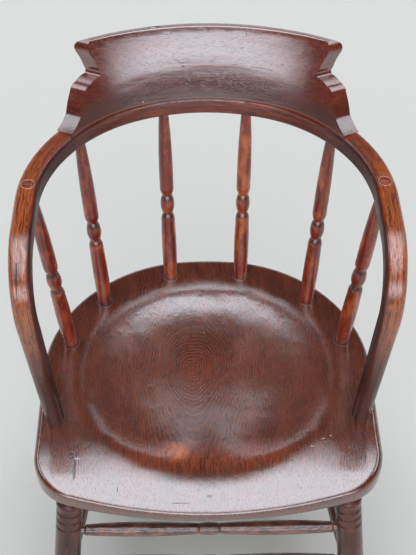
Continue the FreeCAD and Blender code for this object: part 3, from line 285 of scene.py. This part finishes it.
def wobbled(tree, place, size, amount):
    """The same place moved about by up to amount, so that nothing on it runs quite straight."""
    noise = add_node(tree, "ShaderNodeTexNoise", Vector=place, Scale=1 / size, Detail=2.0)
    centred = add_node(tree, "ShaderNodeVectorMath", {"operation": "SUBTRACT"}, _0=noise.outputs["Color"],
                       _1=(0.5, 0.5, 0.5))
    return add_node(tree, "ShaderNodeVectorMath", {"operation": "MULTIPLY_ADD"}, _0=centred.outputs[0],
                    _1=(amount * 2, amount * 2, amount * 2), _2=place).outputs[0]


# %% [markdown]
# ## Varnish and grain
#
# The varnish is a clear coat with its own gloss over a duller stained wood.  Grain in ring-porous
# wood has three scales along its length: soft blotches, streaks and short dark pores.  True pores
# are a quarter of a millimetre across, too fine to show here, so they are drawn about 1 mm wide.

# %% Varnished wood
STREAK_STRETCH = 34
DULLEST = 0.5


def start_wood(name, gloss=0.2, coat_index=2.0):
    """A new material with a clear coat; gives the material, its tree and its shader."""
    material = bpy.data.materials.new(name)
    material.use_nodes = True
    tree = material.node_tree
    shader = tree.nodes["Principled BSDF"]
    shader.inputs["Specular IOR Level"].default_value = 0.15
    shader.inputs["Coat Weight"].default_value = 1.0
    shader.inputs["Coat Roughness"].default_value = gloss
    shader.inputs["Coat IOR"].default_value = coat_index
    return material, tree, shader


def piece_space(tree, centre, turn=(0, 0, 0)):
    """Coordinates on a piece, in millimetres from its centre; turn sets which way Z runs."""
    coordinates = add_node(tree, "ShaderNodeTexCoord").outputs["Object"]
    return add_node(tree, "ShaderNodeMapping", {"vector_type": "TEXTURE"}, Vector=coordinates,
                    Location=tuple(Vector(centre) * MM), Rotation=turn, Scale=(MM, MM, MM)).outputs[0]


def grain(tree, place, along, streak=2.2, pore=0.9, pore_length=11, fewest_pores=0.6):
    """Blotches, streaks and pores drawn out along one axis, as masks, with widths in millimetres."""
    def sized(across, lengthways):
        return tuple(lengthways if letter == along else across for letter in "XYZ")

    blotches = figure(tree, place, sized(26, 70), 0.36, 0.64)
    streaks = figure(tree, place, sized(streak, streak * STREAK_STRETCH), 0.34, 0.66)
    pores = figure(tree, place, sized(pore, pore_length), fewest_pores, fewest_pores + 0.1, detail=1.0)
    return blotches, streaks, pores


def stained(tree, blotches, streaks, deep, body, streak_share=0.5):
    """The stain's colour, deep in the hollows of the pattern and lighter on its crests."""
    share = add_node(tree, "ShaderNodeMix", {"data_type": "FLOAT"}, Factor=streak_share,
                     _2=blotches, _3=streaks)
    return add_node(tree, "ShaderNodeMix", MIX_COLOUR, _0=share.outputs[0],
                    _6=linear(deep), _7=linear(body)).outputs[2]


def varnish(tree, shader, colour, height, unevenness):
    """Joins the colour and the surface's height, in millimetres, to the shader."""
    bump = add_node(tree, "ShaderNodeBump", Height=height, Strength=1.0, Distance=MM).outputs[0]
    rough = add_node(tree, "ShaderNodeMapRange", Value=unevenness, To_Min=DULLEST - 0.12, To_Max=DULLEST)
    tree.links.new(colour, shader.inputs["Base Color"])
    tree.links.new(rough.outputs[0], shader.inputs["Roughness"])
    tree.links.new(bump, shader.inputs["Normal"])
    tree.links.new(bump, shader.inputs["Coat Normal"])


def dress(piece, material):
    """Gives a piece one material all over."""
    piece.data.materials.clear()
    piece.data.materials.append(material)

# %% [markdown]
# ## Turned pieces
#
# Spindles, legs and stretchers are turned from straight-grained squares, so the grain runs along
# each one's axis.  The stain rubs off the bellies in mottled patches, and the shade in a spindle's
# sharp necks and at its foot is painted as dark rings.  Each piece finds its own axis and its own
# part of the noise, so no two match.

# %% Turned wood
def axis_of(node_name):
    """The middle and the direction of a turned piece, from the spread of its points."""
    low, high = [Vector(c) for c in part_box(node_name)]
    middle = (low + high) / 2
    spread = Matrix(((0, 0, 0), (0, 0, 0), (0, 0, 0)))
    for vertex in nodes[node_name].data.vertices:
        away = vertex.co - middle
        for row in range(3):
            for column in range(3):
                spread[row][column] += away[row] * away[column]
    direction = high - low
    # Each turn through the spread pulls the direction closer to the one in which it is longest
    for turn in range(60):
        direction = (spread @ direction).normalized()
    return middle, direction


def turned_wood(name, node_name, tones, seed, dark_rings=(), gloss=0.15, mottle=(16, 40),
                depth=0.06, coat_index=1.7):
    """Turned birch under old varnish: mottled red-brown, with worn orange bellies and painted shade in the
    necks.

    Tones are the deep, the body and the worn one.  Dark rings, which paint shade, are heights from
    the piece's middle, and widths.  Mottle is the width and length of a worn patch, and depth that of a pore.
    """
    deep, body, worn = tones
    material, tree, shader = start_wood(name, gloss, coat_index)
    middle, direction = axis_of(node_name)
    turn = direction.to_track_quat("Z", "Y").to_euler()
    place = piece_space(tree, middle / MM, tuple(turn))
    level = add_node(tree, "ShaderNodeSeparateXYZ", Vector=place).outputs["Z"]
    own = add_node(tree, "ShaderNodeVectorMath", {"operation": "ADD"}, _0=place,
                   _1=(seed * 71, seed * 37, seed * 523))
    own = wobbled(tree, own.outputs[0], 30, 3)
    blotches, streaks, pores = grain(tree, own, "Z", streak=1.8, pore=0.8, pore_length=9)
    across, lengthways = mottle
    rubbed = figure(tree, own, (across, across, lengthways), 0.44, 0.66)
    stains = figure(tree, own, (9, 9, 22), 0.52, 0.7)
    colour = stained(tree, blotches, streaks, deep, body)
    rings = []
    for height, width in dark_rings:
        above = add_node(tree, "ShaderNodeMath", {"operation": "SUBTRACT"}, _0=level, _1=height)
        away = add_node(tree, "ShaderNodeMath", {"operation": "ABSOLUTE"}, _0=above.outputs[0])
        rings.append(over(tree, away.outputs[0], width, 0.0))
    layers = [(rubbed, worn, 0.75), (stains, "#3a0d05", 0.45), (pores, "#1c0804", 0.5)]
    # Painted shade: a near-black ring in each neck and where the spindle meets the seat
    if rings:
        layers.append((joined(tree, "MAXIMUM", rings), "#240703", 0.85))
    colour = painted(tree, colour, layers)
    height = raised(tree, [(streaks, depth * 0.5), (pores, -depth), (blotches, 0.1)])
    varnish(tree, shader, colour, height, blotches)
    return material


# %% Spindles
SPINDLE_TONES = {"left": ("#561006", "#8c2a12", "#b8542c"), "right": ("#5e1406", "#983210", "#c4622c")}
SPINDLE_SEEDS = {"inner": 1, "middle": 2, "outer": 3}
# Heights in millimetres: how far the foot is in the seat, and the two necks above the seat
FOOT_DEPTH = 22
NECKS = (114, 144.5)
# Widths in millimetres of the painted shade in each neck and at the foot
NECK_PAINTED_SHADE, FOOT_PAINTED_SHADE = 5, 7

for row, row_seed in SPINDLE_SEEDS.items():
    for hand, tones in SPINDLE_TONES.items():
        spindle = "spindle_{}_{}".format(hand, row)
        low, high = [Vector(c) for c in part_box(spindle)]
        seat_level = FOOT_DEPTH - (high - low).length / MM / 2
        rings = [(seat_level + neck, NECK_PAINTED_SHADE) for neck in NECKS] + [(seat_level, FOOT_PAINTED_SHADE)]
        seed = row_seed if hand == "left" else -row_seed
        dress(nodes[spindle], turned_wood("varnished_birch_" + spindle, spindle, tones, seed, rings))
print("spindles finished:", len(SPINDLE_SEEDS) * len(SPINDLE_TONES))

# %% Legs and stretchers
LEG_TONES = ("#2c0e09", "#4c1f15", "#6c3120")
STRETCHER_TONES = ("#3c1a12", "#652f21", "#94573c")
FIRST_SEED = 11

for seed, (name, node) in enumerate(nodes.items(), FIRST_SEED):
    if name.startswith("leg"):
        dress(node, turned_wood("varnished_birch_" + name, name, LEG_TONES, seed,
                                gloss=0.2, depth=0.12, coat_index=1.45))
    if name.startswith("stretcher"):
        dress(node, turned_wood("worn_birch_" + name, name, STRETCHER_TONES, seed,
                                gloss=0.2, mottle=(12, 30), depth=0.18, coat_index=1.9))
print("legs and stretchers finished")

# %% [markdown]
# ## Copies to carve
#
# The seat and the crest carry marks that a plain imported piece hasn't: a chip, cracks, pits and a
# knot.  The bow stores its grain on its own points.  Each of the three gets a copy that takes its
# place.  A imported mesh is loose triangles, so the copy is merged first.  Marks are then cut with
# small tools in one boolean, as damage cuts the wood.

# %% Copy and cut
RIM_MIDDLE = (0, -23.6, 420)
MERGE_WITHIN = 0.01
SHARP_FROM = math.radians(32)
START_OUTSIDE = 60


def only(piece):
    """Selects one piece and makes it the active one."""
    bpy.ops.object.select_all(action="DESELECT")
    piece.select_set(True)
    bpy.context.view_layer.objects.active = piece


def copy_to_carve(node_name):
    """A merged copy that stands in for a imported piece."""
    piece = bpy.data.objects.new("worn_" + node_name, nodes[node_name].data.copy())
    scene.collection.objects.link(piece)
    only(piece)
    bpy.ops.mesh.customdata_custom_splitnormals_clear()
    bpy.ops.object.mode_set(mode="EDIT")
    bpy.ops.mesh.select_all(action="SELECT")
    bpy.ops.mesh.remove_doubles(threshold=MERGE_WITHIN * MM)
    bpy.ops.object.mode_set(mode="OBJECT")
    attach(piece, "root")
    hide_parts(node_name)
    print(node_name, "copied:", len(piece.data.polygons), "triangles")
    return piece


def finish_shading(piece):
    """Smooth curves with sharp edges kept."""
    only(piece)
    bpy.ops.object.shade_smooth_by_angle(angle=SHARP_FROM)


def on_surface(piece, place, into):
    """Where a line through a place, given in millimetres from the rim's middle, meets a piece."""
    start = (Vector(place) + Vector(RIM_MIDDLE) - into * START_OUTSIDE) * MM
    found, point, normal, face = piece.ray_cast(start, into)
    if not found:
        raise ValueError("the line misses " + piece.name)
    return point, normal


def gouge(piece, start, end, into, half_width, depth):
    """A long round-ended tool that cuts a groove from start to end, deepest in its middle."""
    first, first_normal = on_surface(piece, start, into)
    last, last_normal = on_surface(piece, end, into)
    along = (last - first) / 2
    out = (first_normal + last_normal).normalized()
    across = out.cross(along).normalized()
    bpy.ops.object.select_all(action="DESELECT")
    bpy.ops.mesh.primitive_uv_sphere_add(segments=14, ring_count=8)
    tool = bpy.context.active_object
    axes = Matrix((along, across * half_width * MM, out * depth * MM)).transposed()
    tool.matrix_world = Matrix.Translation((first + last) / 2) @ axes.to_4x4()
    return tool


def ring_tool(piece, middle, into, radius, half_width):
    """A ring-shaped tool, half sunk in the surface."""
    point, normal = on_surface(piece, middle, into)
    bpy.ops.object.select_all(action="DESELECT")
    bpy.ops.mesh.primitive_torus_add(major_radius=radius * MM, minor_radius=half_width * MM,
                                     major_segments=28, minor_segments=8)
    tool = bpy.context.active_object
    tool.matrix_world = Matrix.Translation(point) @ normal.to_track_quat("Z", "Y").to_matrix().to_4x4()
    return tool


def carve(piece, tools):
    """Cuts all the tools out of a piece at once, and clears them away."""
    bpy.ops.object.select_all(action="DESELECT")
    for tool in tools:
        tool.select_set(True)
    bpy.context.view_layer.objects.active = tools[0]
    bpy.ops.object.transform_apply(location=True, rotation=True, scale=True)
    bpy.ops.object.mode_set(mode="EDIT")
    bpy.ops.mesh.select_all(action="SELECT")
    bpy.ops.mesh.normals_make_consistent(inside=False)
    bpy.ops.object.mode_set(mode="OBJECT")
    bpy.ops.object.join()
    cutter = bpy.context.active_object
    cut = piece.modifiers.new("marks", "BOOLEAN")
    cut.operation = "DIFFERENCE"
    cut.solver = "EXACT"
    cut.use_self = True
    cut.object = cutter
    only(piece)
    bpy.ops.object.modifier_apply(modifier=cut.name)
    bpy.data.objects.remove(cutter)
    print(piece.name, "carved:", len(tools), "marks,", len(piece.data.polygons), "faces")


seat = copy_to_carve("seat")
bow = copy_to_carve("arm_bow")
crest = copy_to_carve("crest")

# %% [markdown]
# ## Marks of use
#
# Sizes and places are read off the photograph, in millimetres from the middle of the seat's rim.
# The crest has lost a chip from its top edge.  Its cracks and the seat's open along the grain, and
# the knot in the seat's corner has shrunk and left a ring-shaped gap.

# %% Cut the marks
DOWN = Vector((0, 0, -1))
INWARDS = Vector((0, 0.8, -0.6))
ONTO_THE_EDGE = Vector((0, 0.3, -0.954))
KNOT = (-182.4, -129, -3)
SEAT_CRACKS = [((-177, -136, -3), (-176.5, -166, -5)), ((-120.5, -176, -6), (-120, -184, -8)),
               ((209.4, -126, -3), (207, -149, -4)), ((-51.3, -199, -11), (-24.1, -199.3, -11)),
               ((21, -150, -5), (24, -160, -6)), ((66, -146, -5), (72, -161, -6))]
SEAT_DENTS = [((-3, -191, -9), (4, -190, -9)), ((150, -112, -6), (157, -109, -6)),
              ((136, -120, -6), (141, -124, -6)), ((163, -104, -5), (167, -107, -5))]
CREST_CRACKS = [((-46, 281, 386), (-44.5, 278, 379)), ((55, 279, 385), (56, 276, 379)),
                ((97, 272, 384), (98.5, 269, 379))]
CREST_PITS = [((7, 263, 348), (10.5, 263, 347.5)), ((-31.5, 259.4, 344), (-27.5, 259.4, 341.5)),
              ((-20, 256.5, 334.8), (-17, 256.5, 334)), ((6, 253.6, 325.8), (8.2, 253.6, 325.4))]
CHIPS = [((-77, 285, 389), (-58, 285, 388))]
# Half the width, and the depth, of each kind of mark
SEAT_CRACK, SEAT_DENT = (0.55, 0.9), (1.6, 0.5)
CREST_CRACK, CREST_PIT, CHIP = (0.4, 0.8), (0.7, 0.9), (4.5, 3.2)
KNOT_RADIUS, KNOT_GAP = 3.9, 0.7


def gouges(piece, marks, into, half_width, depth):
    """One gouge for each mark's start and end."""
    return [gouge(piece, start, end, into, half_width, depth) for start, end in marks]


seat_tools = gouges(seat, SEAT_CRACKS, DOWN, *SEAT_CRACK) + gouges(seat, SEAT_DENTS, DOWN, *SEAT_DENT)
seat_tools.append(ring_tool(seat, KNOT, DOWN, KNOT_RADIUS, KNOT_GAP))
carve(seat, seat_tools)
crest_tools = gouges(crest, CREST_CRACKS, INWARDS, *CREST_CRACK)
crest_tools += gouges(crest, CREST_PITS, INWARDS, *CREST_PIT)
crest_tools += gouges(crest, CHIPS, ONTO_THE_EDGE, *CHIP)
carve(crest, crest_tools)
for piece in (seat, bow, crest):
    finish_shading(piece)

# %% [markdown]
# ## The seat
#
# A wide plank, sawn through the middle of the tree, shows its growth rings as ovals where the dish
# cuts into them and as straight lines at the sides.  The rings are drawn from one formula: a ring
# is where the distance sideways and the distance along, which counts less and less, add up alike.

# %% Seat wood
RING_MIDDLE = (-20, 28, -16)
RING_SPACING = 3.7
RING_ROUNDNESS = 0.62
RING_REACH = 95
POINTEDNESS = 0.3
WAVE_PERIOD = math.pi / 10
FEET_ON_THE_RIGHT = ((53.4, 194.8), (151, 142.7), (196.6, 63.8), (209.5, -69.5))
FEET = [(x * side, y, 0) for side in (-1, 1) for x, y in FEET_ON_THE_RIGHT]


def growth_rings(tree, place):
    """How far out from the tree's middle each place is, as a distance in millimetres."""
    centred = add_node(tree, "ShaderNodeVectorMath", {"operation": "SUBTRACT"}, _0=place,
                       _1=RING_MIDDLE)
    axes = add_node(tree, "ShaderNodeSeparateXYZ", Vector=centred.outputs[0]).outputs
    side = add_node(tree, "ShaderNodeMath", {"operation": "ABSOLUTE"}, _0=axes["X"]).outputs[0]
    pointed = add_node(tree, "ShaderNodeMath", MULTIPLY, _0=side, _1=POINTEDNESS).outputs[0]
    forward = add_node(tree, "ShaderNodeMath", {"operation": "SUBTRACT"}, _0=pointed, _1=axes["Y"]).outputs[0]
    squared = add_node(tree, "ShaderNodeMath", MULTIPLY, _0=forward, _1=forward).outputs[0]
    limit = add_node(tree, "ShaderNodeMath", {"operation": "ADD"}, _0=squared, _1=RING_REACH ** 2).outputs[0]
    flattened = add_node(tree, "ShaderNodeMath", {"operation": "DIVIDE"}, _0=squared, _1=limit).outputs[0]
    sideways = add_node(tree, "ShaderNodeMath", MULTIPLY, _0=side, _1=side).outputs[0]
    total = add_node(tree, "ShaderNodeMath", {"operation": "MULTIPLY_ADD"}, _0=flattened,
                     _1=RING_ROUNDNESS * RING_REACH ** 2, _2=sideways).outputs[0]
    return add_node(tree, "ShaderNodeMath", {"operation": "SQRT"}, _0=total).outputs[0]


def seat_wood():
    """Old glossy varnish on an elm plank: deep brown, with broken pale rings and an orange streak."""
    material, tree, shader = start_wood("varnished_elm_plank", 0.12, 2.25)
    place = piece_space(tree, RIM_MIDDLE)
    moved = wobbled(tree, wobbled(tree, place, 60, 6), 12, 0.5)
    blotches, streaks, pores = grain(tree, moved, "Y", streak=1.7, pore=0.8, pore_length=8)
    rings = add_node(tree, "ShaderNodeCombineXYZ", X=growth_rings(tree, moved))
    wave = add_node(tree, "ShaderNodeTexWave", {"bands_direction": "X"}, Vector=rings.outputs[0],
                    Scale=WAVE_PERIOD / RING_SPACING, Distortion=2.5, Detail=2.0, Detail_Scale=1.5)
    broken = figure(tree, moved, (5, 9, 5), 0.3, 0.6)
    centre = spot(tree, place, (-15, -12, -16), 60, 150)
    clear = add_node(tree, "ShaderNodeMapRange", Value=centre, To_Min=0.3, To_Max=1.0).outputs[0]
    pale_rings = over(tree, wave.outputs[1], 0.55, 0.95)
    pale_lines = joined(tree, "MULTIPLY", [pale_rings, broken, clear])
    dark_rings = over(tree, wave.outputs[1], 0.3, 0.0)
    dark_lines = joined(tree, "MULTIPLY", [dark_rings, broken, clear])
    axes = add_node(tree, "ShaderNodeSeparateXYZ", Vector=moved).outputs
    rubbed_along = between(tree, axes["Y"], -168, -138, -128, -96)
    rubbed_across = between(tree, axes["X"], -150, -60, 60, 170)
    rubbed = joined(tree, "MULTIPLY", [rubbed_along, rubbed_across, streaks])
    orange_patch = joined(tree, "MULTIPLY", [spot(tree, moved, (-44, -122, -9), 5, 24), broken])
    splits = cracks(tree, moved, SEAT_CRACKS, 1.0)
    knot_ring = between(tree, distance(tree, moved, KNOT), 2.4, 3.6, 4.2, 5.4)
    knot_heart = spot(tree, moved, (-184, -130, -3), 0.5, 4)
    to_socket = joined(tree, "MINIMUM", [distance(tree, place, foot) for foot in FEET])
    # Painted shade round the feet of the spindles and arms, where they meet the seat
    feet_painted_shade = over(tree, to_socket, 19.0, 10.0)
    # A thin raised lip of varnish round each foot, with a painted highlight on it
    lip_and_painted_highlight = between(tree, to_socket, 10.5, 11.3, 12.0, 13.5)
    pocks = add_node(tree, "ShaderNodeTexVoronoi", Vector=moved, Scale=1 / 21)
    chosen = add_node(tree, "ShaderNodeSeparateColor", Color=pocks.outputs["Color"]).outputs[0]
    few = add_node(tree, "ShaderNodeMapRange", Value=chosen, From_Min=0.55, From_Max=0.6).outputs[0]
    pock = over(tree, pocks.outputs["Distance"], 0.055, 0.02)
    pits = joined(tree, "MULTIPLY", [pock, few])
    colour = stained(tree, blotches, streaks, "#421808", "#682a10")
    colour = painted(tree, colour, [
        (pale_lines, "#8f4622", 0.5), (dark_lines, "#33150b", 0.25), (rubbed, "#a2481c", 0.55),
        (orange_patch, "#c05c24", 0.8), (pores, "#250f08", 0.35), (feet_painted_shade, "#341208", 0.35),
        (lip_and_painted_highlight, "#a5847c", 0.12), (pits, "#a8a2a8", 0.55), (knot_heart, "#3a1a12", 0.7),
        (knot_ring, "#1a0906", 0.85), (splits, "#1c0a06", 0.85)])
    hand_planed = figure(tree, place, (55, 40, 55), 0.25, 0.75, detail=1.0)
    dented = figure(tree, place, (9, 12, 9), 0.5, 0.75, detail=2.0)
    height = raised(tree, [(streaks, 0.02), (pores, -0.05), (pale_lines, 0.02), (hand_planed, 0.09),
                           (dented, -0.04), (pits, -0.2), (knot_ring, -0.4), (splits, -0.5), (lip_and_painted_highlight, 0.1)])
    varnish(tree, shader, colour, height, blotches)
    return material


dress(seat, seat_wood())
print("seat finished, with", len(SEAT_CRACKS), "cracks")

# %% [markdown]
# ## The bent rail
#
# The bow is one ash rail, steamed and bent, so its grain follows it all the way round and down
# into the seat.  Noise on plain coordinates would cut across the bends.  Each point of the mesh
# therefore stores its place along the rail, and outwards and upwards from its centre line.

# %% Places along the bow
BOW_LEVEL = 285.5
ARM_ASIDE, ARM_END = 226.5, -5
BACK_REACH = 258.5
FOOT_ASIDE, FOOT_BACK = 209.5, -69.5
PAST_THE_SEAT = 45
BACK_RADIUS, SHOULDER_RADIUS, BEND_RADIUS = 268, 205, 75
BACK_TURN = math.asin((ARM_ASIDE - SHOULDER_RADIUS) / (BACK_RADIUS - SHOULDER_RADIUS))
BEND_TURN = math.radians(92.9)
RIGHT, BACK, UP = Vector((1, 0, 0)), Vector((0, 1, 0)), Vector((0, 0, 1))
ARC_STEPS = 24
line_points = []
line_tops = []


def add_arc(centre, radius, start, end, first, second, top=None):
    """Adds points round an arc to the rail's line, with the direction of its top side at each."""
    for i in range(ARC_STEPS + 1):
        angle = start + (end - start) * i / ARC_STEPS
        spoke = first * math.sin(angle) + second * math.cos(angle)
        line_points.append(centre + spoke * radius)
        line_tops.append(top or spoke)


back_centre = Vector((0, BACK_REACH - BACK_RADIUS, BOW_LEVEL))
to_shoulder = RIGHT * math.sin(BACK_TURN) + BACK * math.cos(BACK_TURN)
shoulder_centre = back_centre + to_shoulder * (BACK_RADIUS - SHOULDER_RADIUS)
arm_front = Vector((ARM_ASIDE, ARM_END, BOW_LEVEL))
arm_foot = Vector((FOOT_ASIDE, FOOT_BACK, 0))
down = Vector((arm_foot.x - arm_front.x, 0, -BOW_LEVEL)).normalized()
add_arc(back_centre, BACK_RADIUS, 0, BACK_TURN, RIGHT, BACK, UP)
add_arc(shoulder_centre, SHOULDER_RADIUS, BACK_TURN, math.pi / 2, RIGHT, BACK, UP)
add_arc(arm_front + down * BEND_RADIUS, BEND_RADIUS, 0, BEND_TURN, -BACK, -down)
last_stretch = (arm_foot - line_points[-1]).normalized()
line_points.append(arm_foot + last_stretch * PAST_THE_SEAT)
line_tops.append(line_tops[-1])

starts = np.array(line_points[:-1])
steps = np.array(line_points[1:]) - starts
lengths = np.linalg.norm(steps, axis=1)
whole = lengths > 0
starts, steps, lengths = starts[whole], steps[whole], lengths[whole]
tops = np.array(line_tops[:-1])[whole]
outwards = np.cross(tops, steps / lengths[:, None])
from_middle = np.concatenate(([0], np.cumsum(lengths)[:-1]))

# %% Store them on the mesh
count = len(bow.data.vertices)
points = np.empty(count * 3)
bow.data.vertices.foreach_get("co", points)
points = points.reshape(count, 3) / MM - np.array(RIM_MIDDLE)
hand = np.where(points[:, 0] < 0, -1.0, 1.0)
points[:, 0] = abs(points[:, 0])
gaps = points[:, None, :] - starts[None, :, :]
shares = np.clip((gaps * steps).sum(axis=2) / lengths ** 2, 0, 1)
gaps -= shares[:, :, None] * steps
nearest = (gaps ** 2).sum(axis=2).argmin(axis=1)
every = np.arange(count)
away = gaps[every, nearest]
rail_place = np.stack([(away * outwards[nearest]).sum(axis=1),
                       hand * (from_middle[nearest] + shares[every, nearest] * lengths[nearest]),
                       (away * tops[nearest]).sum(axis=1)], axis=1)
stored = bow.data.attributes.new("rail_place", "FLOAT_VECTOR", "POINT")
stored.data.foreach_set("vector", rail_place.astype(np.float32).ravel())
print("rail length either side:", round(float(lengths.sum())), "mm")

# %% [markdown]
# ## The bow's finish
#
# Hands have rubbed the varnish off the tops and outsides of the arms, so the wood is orange there,
# with its open pores still dark.  The inner sides and the lower ends keep a dark brown, painted
# darker still as shade, and have gone dull there, with much of the coat lost.

# %% Bow wood
TENONS = [(225.3 * side, 73.9, 299.5) for side in (-1, 1)]
# Places of cracks on the rail: outwards, along it (left is negative) and up, in millimetres
BOW_CRACKS = [((2, -440, 14), (4, -478, 14)), ((-6, -470, 13), (12, -474, 12)),
              ((1, -452, 14), (9, -457, 13)), ((-5, 372, 14), (1, 374, 14)),
              ((7, 452, 14), (8, 470, 14)), ((-4, 305, 14), (7, 309, 14))]


def rail_wood():
    """Rubbed varnish on bent ash: worn orange on top, dark open pores, dull inner sides with painted shade.
    """
    material, tree, shader = start_wood("rubbed_ash_rail", 0.14, 1.8)
    stored_place = add_node(tree, "ShaderNodeAttribute", {"attribute_name": "rail_place"}).outputs["Vector"]
    place = wobbled(tree, stored_place, 26, 2.2)
    blotches, streaks, pores = grain(tree, place, "Y", streak=1.6, pore=0.75, pore_length=13,
                                      fewest_pores=0.56)
    lines = figure(tree, place, (1.5, 80, 1.5), 0.5, 0.6, detail=2.0)
    axes = add_node(tree, "ShaderNodeSeparateXYZ", Vector=stored_place).outputs
    along = add_node(tree, "ShaderNodeMath", {"operation": "ABSOLUTE"}, _0=axes["Y"]).outputs[0]
    on_top = over(tree, axes["Z"], -9.0, 9.0)
    not_inside = over(tree, axes["X"], -12.5, -5.0)
    handled = between(tree, along, 200, 330, 510, 640)
    rubbed = joined(tree, "MULTIPLY", [on_top, not_inside, handled])
    # Painted shade: the inner sides of the arms and the lower ends are painted darker over their dark brown
    inner_side = over(tree, axes["X"], -9.0, -13.0)
    on_arm = over(tree, along, 120.0, 260.0)
    inside = joined(tree, "MULTIPLY", [inner_side, on_arm])
    lower = over(tree, along, 500.0, 660.0)
    splits = cracks(tree, stored_place, BOW_CRACKS, 0.9)
    on_chair = piece_space(tree, RIM_MIDDLE)
    to_tenon = joined(tree, "MINIMUM", [distance(tree, on_chair, tenon) for tenon in TENONS])
    tenon_rim = between(tree, to_tenon, 7.0, 7.6, 8.3, 9.4)
    tenon_gap = between(tree, to_tenon, 5.8, 6.6, 7.0, 7.6)
    colour = stained(tree, blotches, streaks, "#521605", "#983a14", streak_share=0.65)
    colour = painted(tree, colour, [
        (rubbed, "#c4682e", 0.5), (lower, "#3c1006", 0.8), (inside, "#2c0903", 0.85),
        (lines, "#34100a", 0.7), (pores, "#1c0805", 0.75), (splits, "#120604", 0.9),
        (tenon_rim, "#a08078", 0.5), (tenon_gap, "#1a0a06", 0.85)])
    height = raised(tree, [(streaks, 0.02), (pores, -0.08), (lines, -0.06), (splits, -0.5),
                           (tenon_rim, 0.3), (tenon_gap, -0.4), (blotches, 0.2)])
    # Much of the coat has gone from the inner sides, and some from the lower ends
    dull_inside = joined(tree, "MULTIPLY", [inside, 0.7])
    dull_below = joined(tree, "MULTIPLY", [lower, 0.4])
    coat_lost = joined(tree, "MAXIMUM", [dull_inside, dull_below])
    coat_left = add_node(tree, "ShaderNodeMath", {"operation": "SUBTRACT"}, _0=1.0, _1=coat_lost)
    tree.links.new(coat_left.outputs[0], shader.inputs["Coat Weight"])
    varnish(tree, shader, colour, height, blotches)
    return material


dress(bow, rail_wood())
print("bow finished, with", len(BOW_CRACKS), "cracks")

# %% [markdown]
# ## The crest
#
# The crest is sawn and scooped from a thick board whose grain runs straight from side to side.  On
# a scooped face straight layers come out as long arcs, which plain coordinates give by themselves.

# %% Crest wood
CREST_SCRATCHES = [((33, 260, 345), (80, 251, 344)), ((80, 251, 344), (126, 232, 341)),
                   ((-40, 262, 352), (-31, 261, 346)), ((-31, 261, 346), (-27, 260.5, 348))]


def crest_wood():
    """Glossy varnish on a sawn elm board: red-brown with long straight layers, and painted shade low down."""
    material, tree, shader = start_wood("varnished_sawn_elm_crest", 0.13, 2.3)
    place = piece_space(tree, RIM_MIDDLE)
    moved = wobbled(tree, wobbled(tree, place, 60, 4), 12, 0.8)
    blotches, streaks, pores = grain(tree, moved, "X", streak=1.5, pore=0.8, pore_length=9)
    layers = figure(tree, moved, (260, 5, 3.2), 0.42, 0.62, detail=2.0)
    axes = add_node(tree, "ShaderNodeSeparateXYZ", Vector=place).outputs
    top_edge = over(tree, axes["Z"], 386.0, 389.5)
    foot_edge = between(tree, axes["Z"], 298.0, 299.8, 300.5, 302.5)
    # Painted shade: the lower part of the scooped face is painted darker
    low = over(tree, axes["Z"], 335.0, 305.0)
    scratches = cracks(tree, place, CREST_SCRATCHES, 0.6)
    pits = cracks(tree, place, CREST_PITS, 1.3)
    splits = cracks(tree, place, CREST_CRACKS, 0.9)
    dust = spot(tree, place, (-84, 232.7, 303.8), 0.4, 1.5)
    colour = stained(tree, blotches, streaks, "#4a1408", "#702812")
    colour = painted(tree, colour, [
        (layers, "#7c3a28", 0.35), (low, "#2e0b04", 0.55), (top_edge, "#6a2a1a", 0.4),
        (foot_edge, "#98452a", 0.45), (pores, "#1d0805", 0.5), (scratches, "#260e08", 0.6),
        (pits, "#120605", 0.8), (splits, "#120605", 0.8), (dust, "#c9c4c4", 0.9)])
    hand_shaped = figure(tree, place, (70, 40, 22), 0.25, 0.75, detail=1.0)
    height = raised(tree, [(streaks, 0.012), (layers, 0.02), (pores, -0.03), (hand_shaped, 0.2),
                           (scratches, -0.15)])
    varnish(tree, shader, colour, height, blotches)
    return material


dress(crest, crest_wood())
print("crest finished, with", len(CREST_CRACKS), "cracks")

# %% [markdown]
# ## Wedges and screws
#
# The wedges show pale end grain with little varnish left.  The screws under the crest are plain
# steel, dull and brown with rust in places.

# %% Wedges and screws
for name in ("spindle_wedges", "arm_wedges"):
    material, tree, shader = start_wood("end_grain_" + name, gloss=0.3)
    place = piece_space(tree, RIM_MIDDLE)
    blotches, streaks = grain(tree, place, "Z")[:2]
    colour = stained(tree, blotches, streaks, "#6b4730", "#9a7256")
    varnish(tree, shader, colour, raised(tree, [(streaks, 0.1)]), blotches)
    dress(nodes[name], material)

steel = bpy.data.materials.new("dull_steel_screw")
steel.use_nodes = True
tree = steel.node_tree
shader = tree.nodes["Principled BSDF"]
shader.inputs["Metallic"].default_value = 1.0
rust = figure(tree, piece_space(tree, RIM_MIDDLE), (2, 2, 2), 0.45, 0.65)
rusted = add_node(tree, "ShaderNodeMix", MIX_COLOUR, _0=rust, _6=linear("#7d7a76"), _7=linear("#6a3a20"))
tree.links.new(rusted.outputs[2], shader.inputs["Base Color"])
shader.inputs["Roughness"].default_value = 0.45
dress(nodes["crest_screws"], steel)
print("wedges and screws finished")
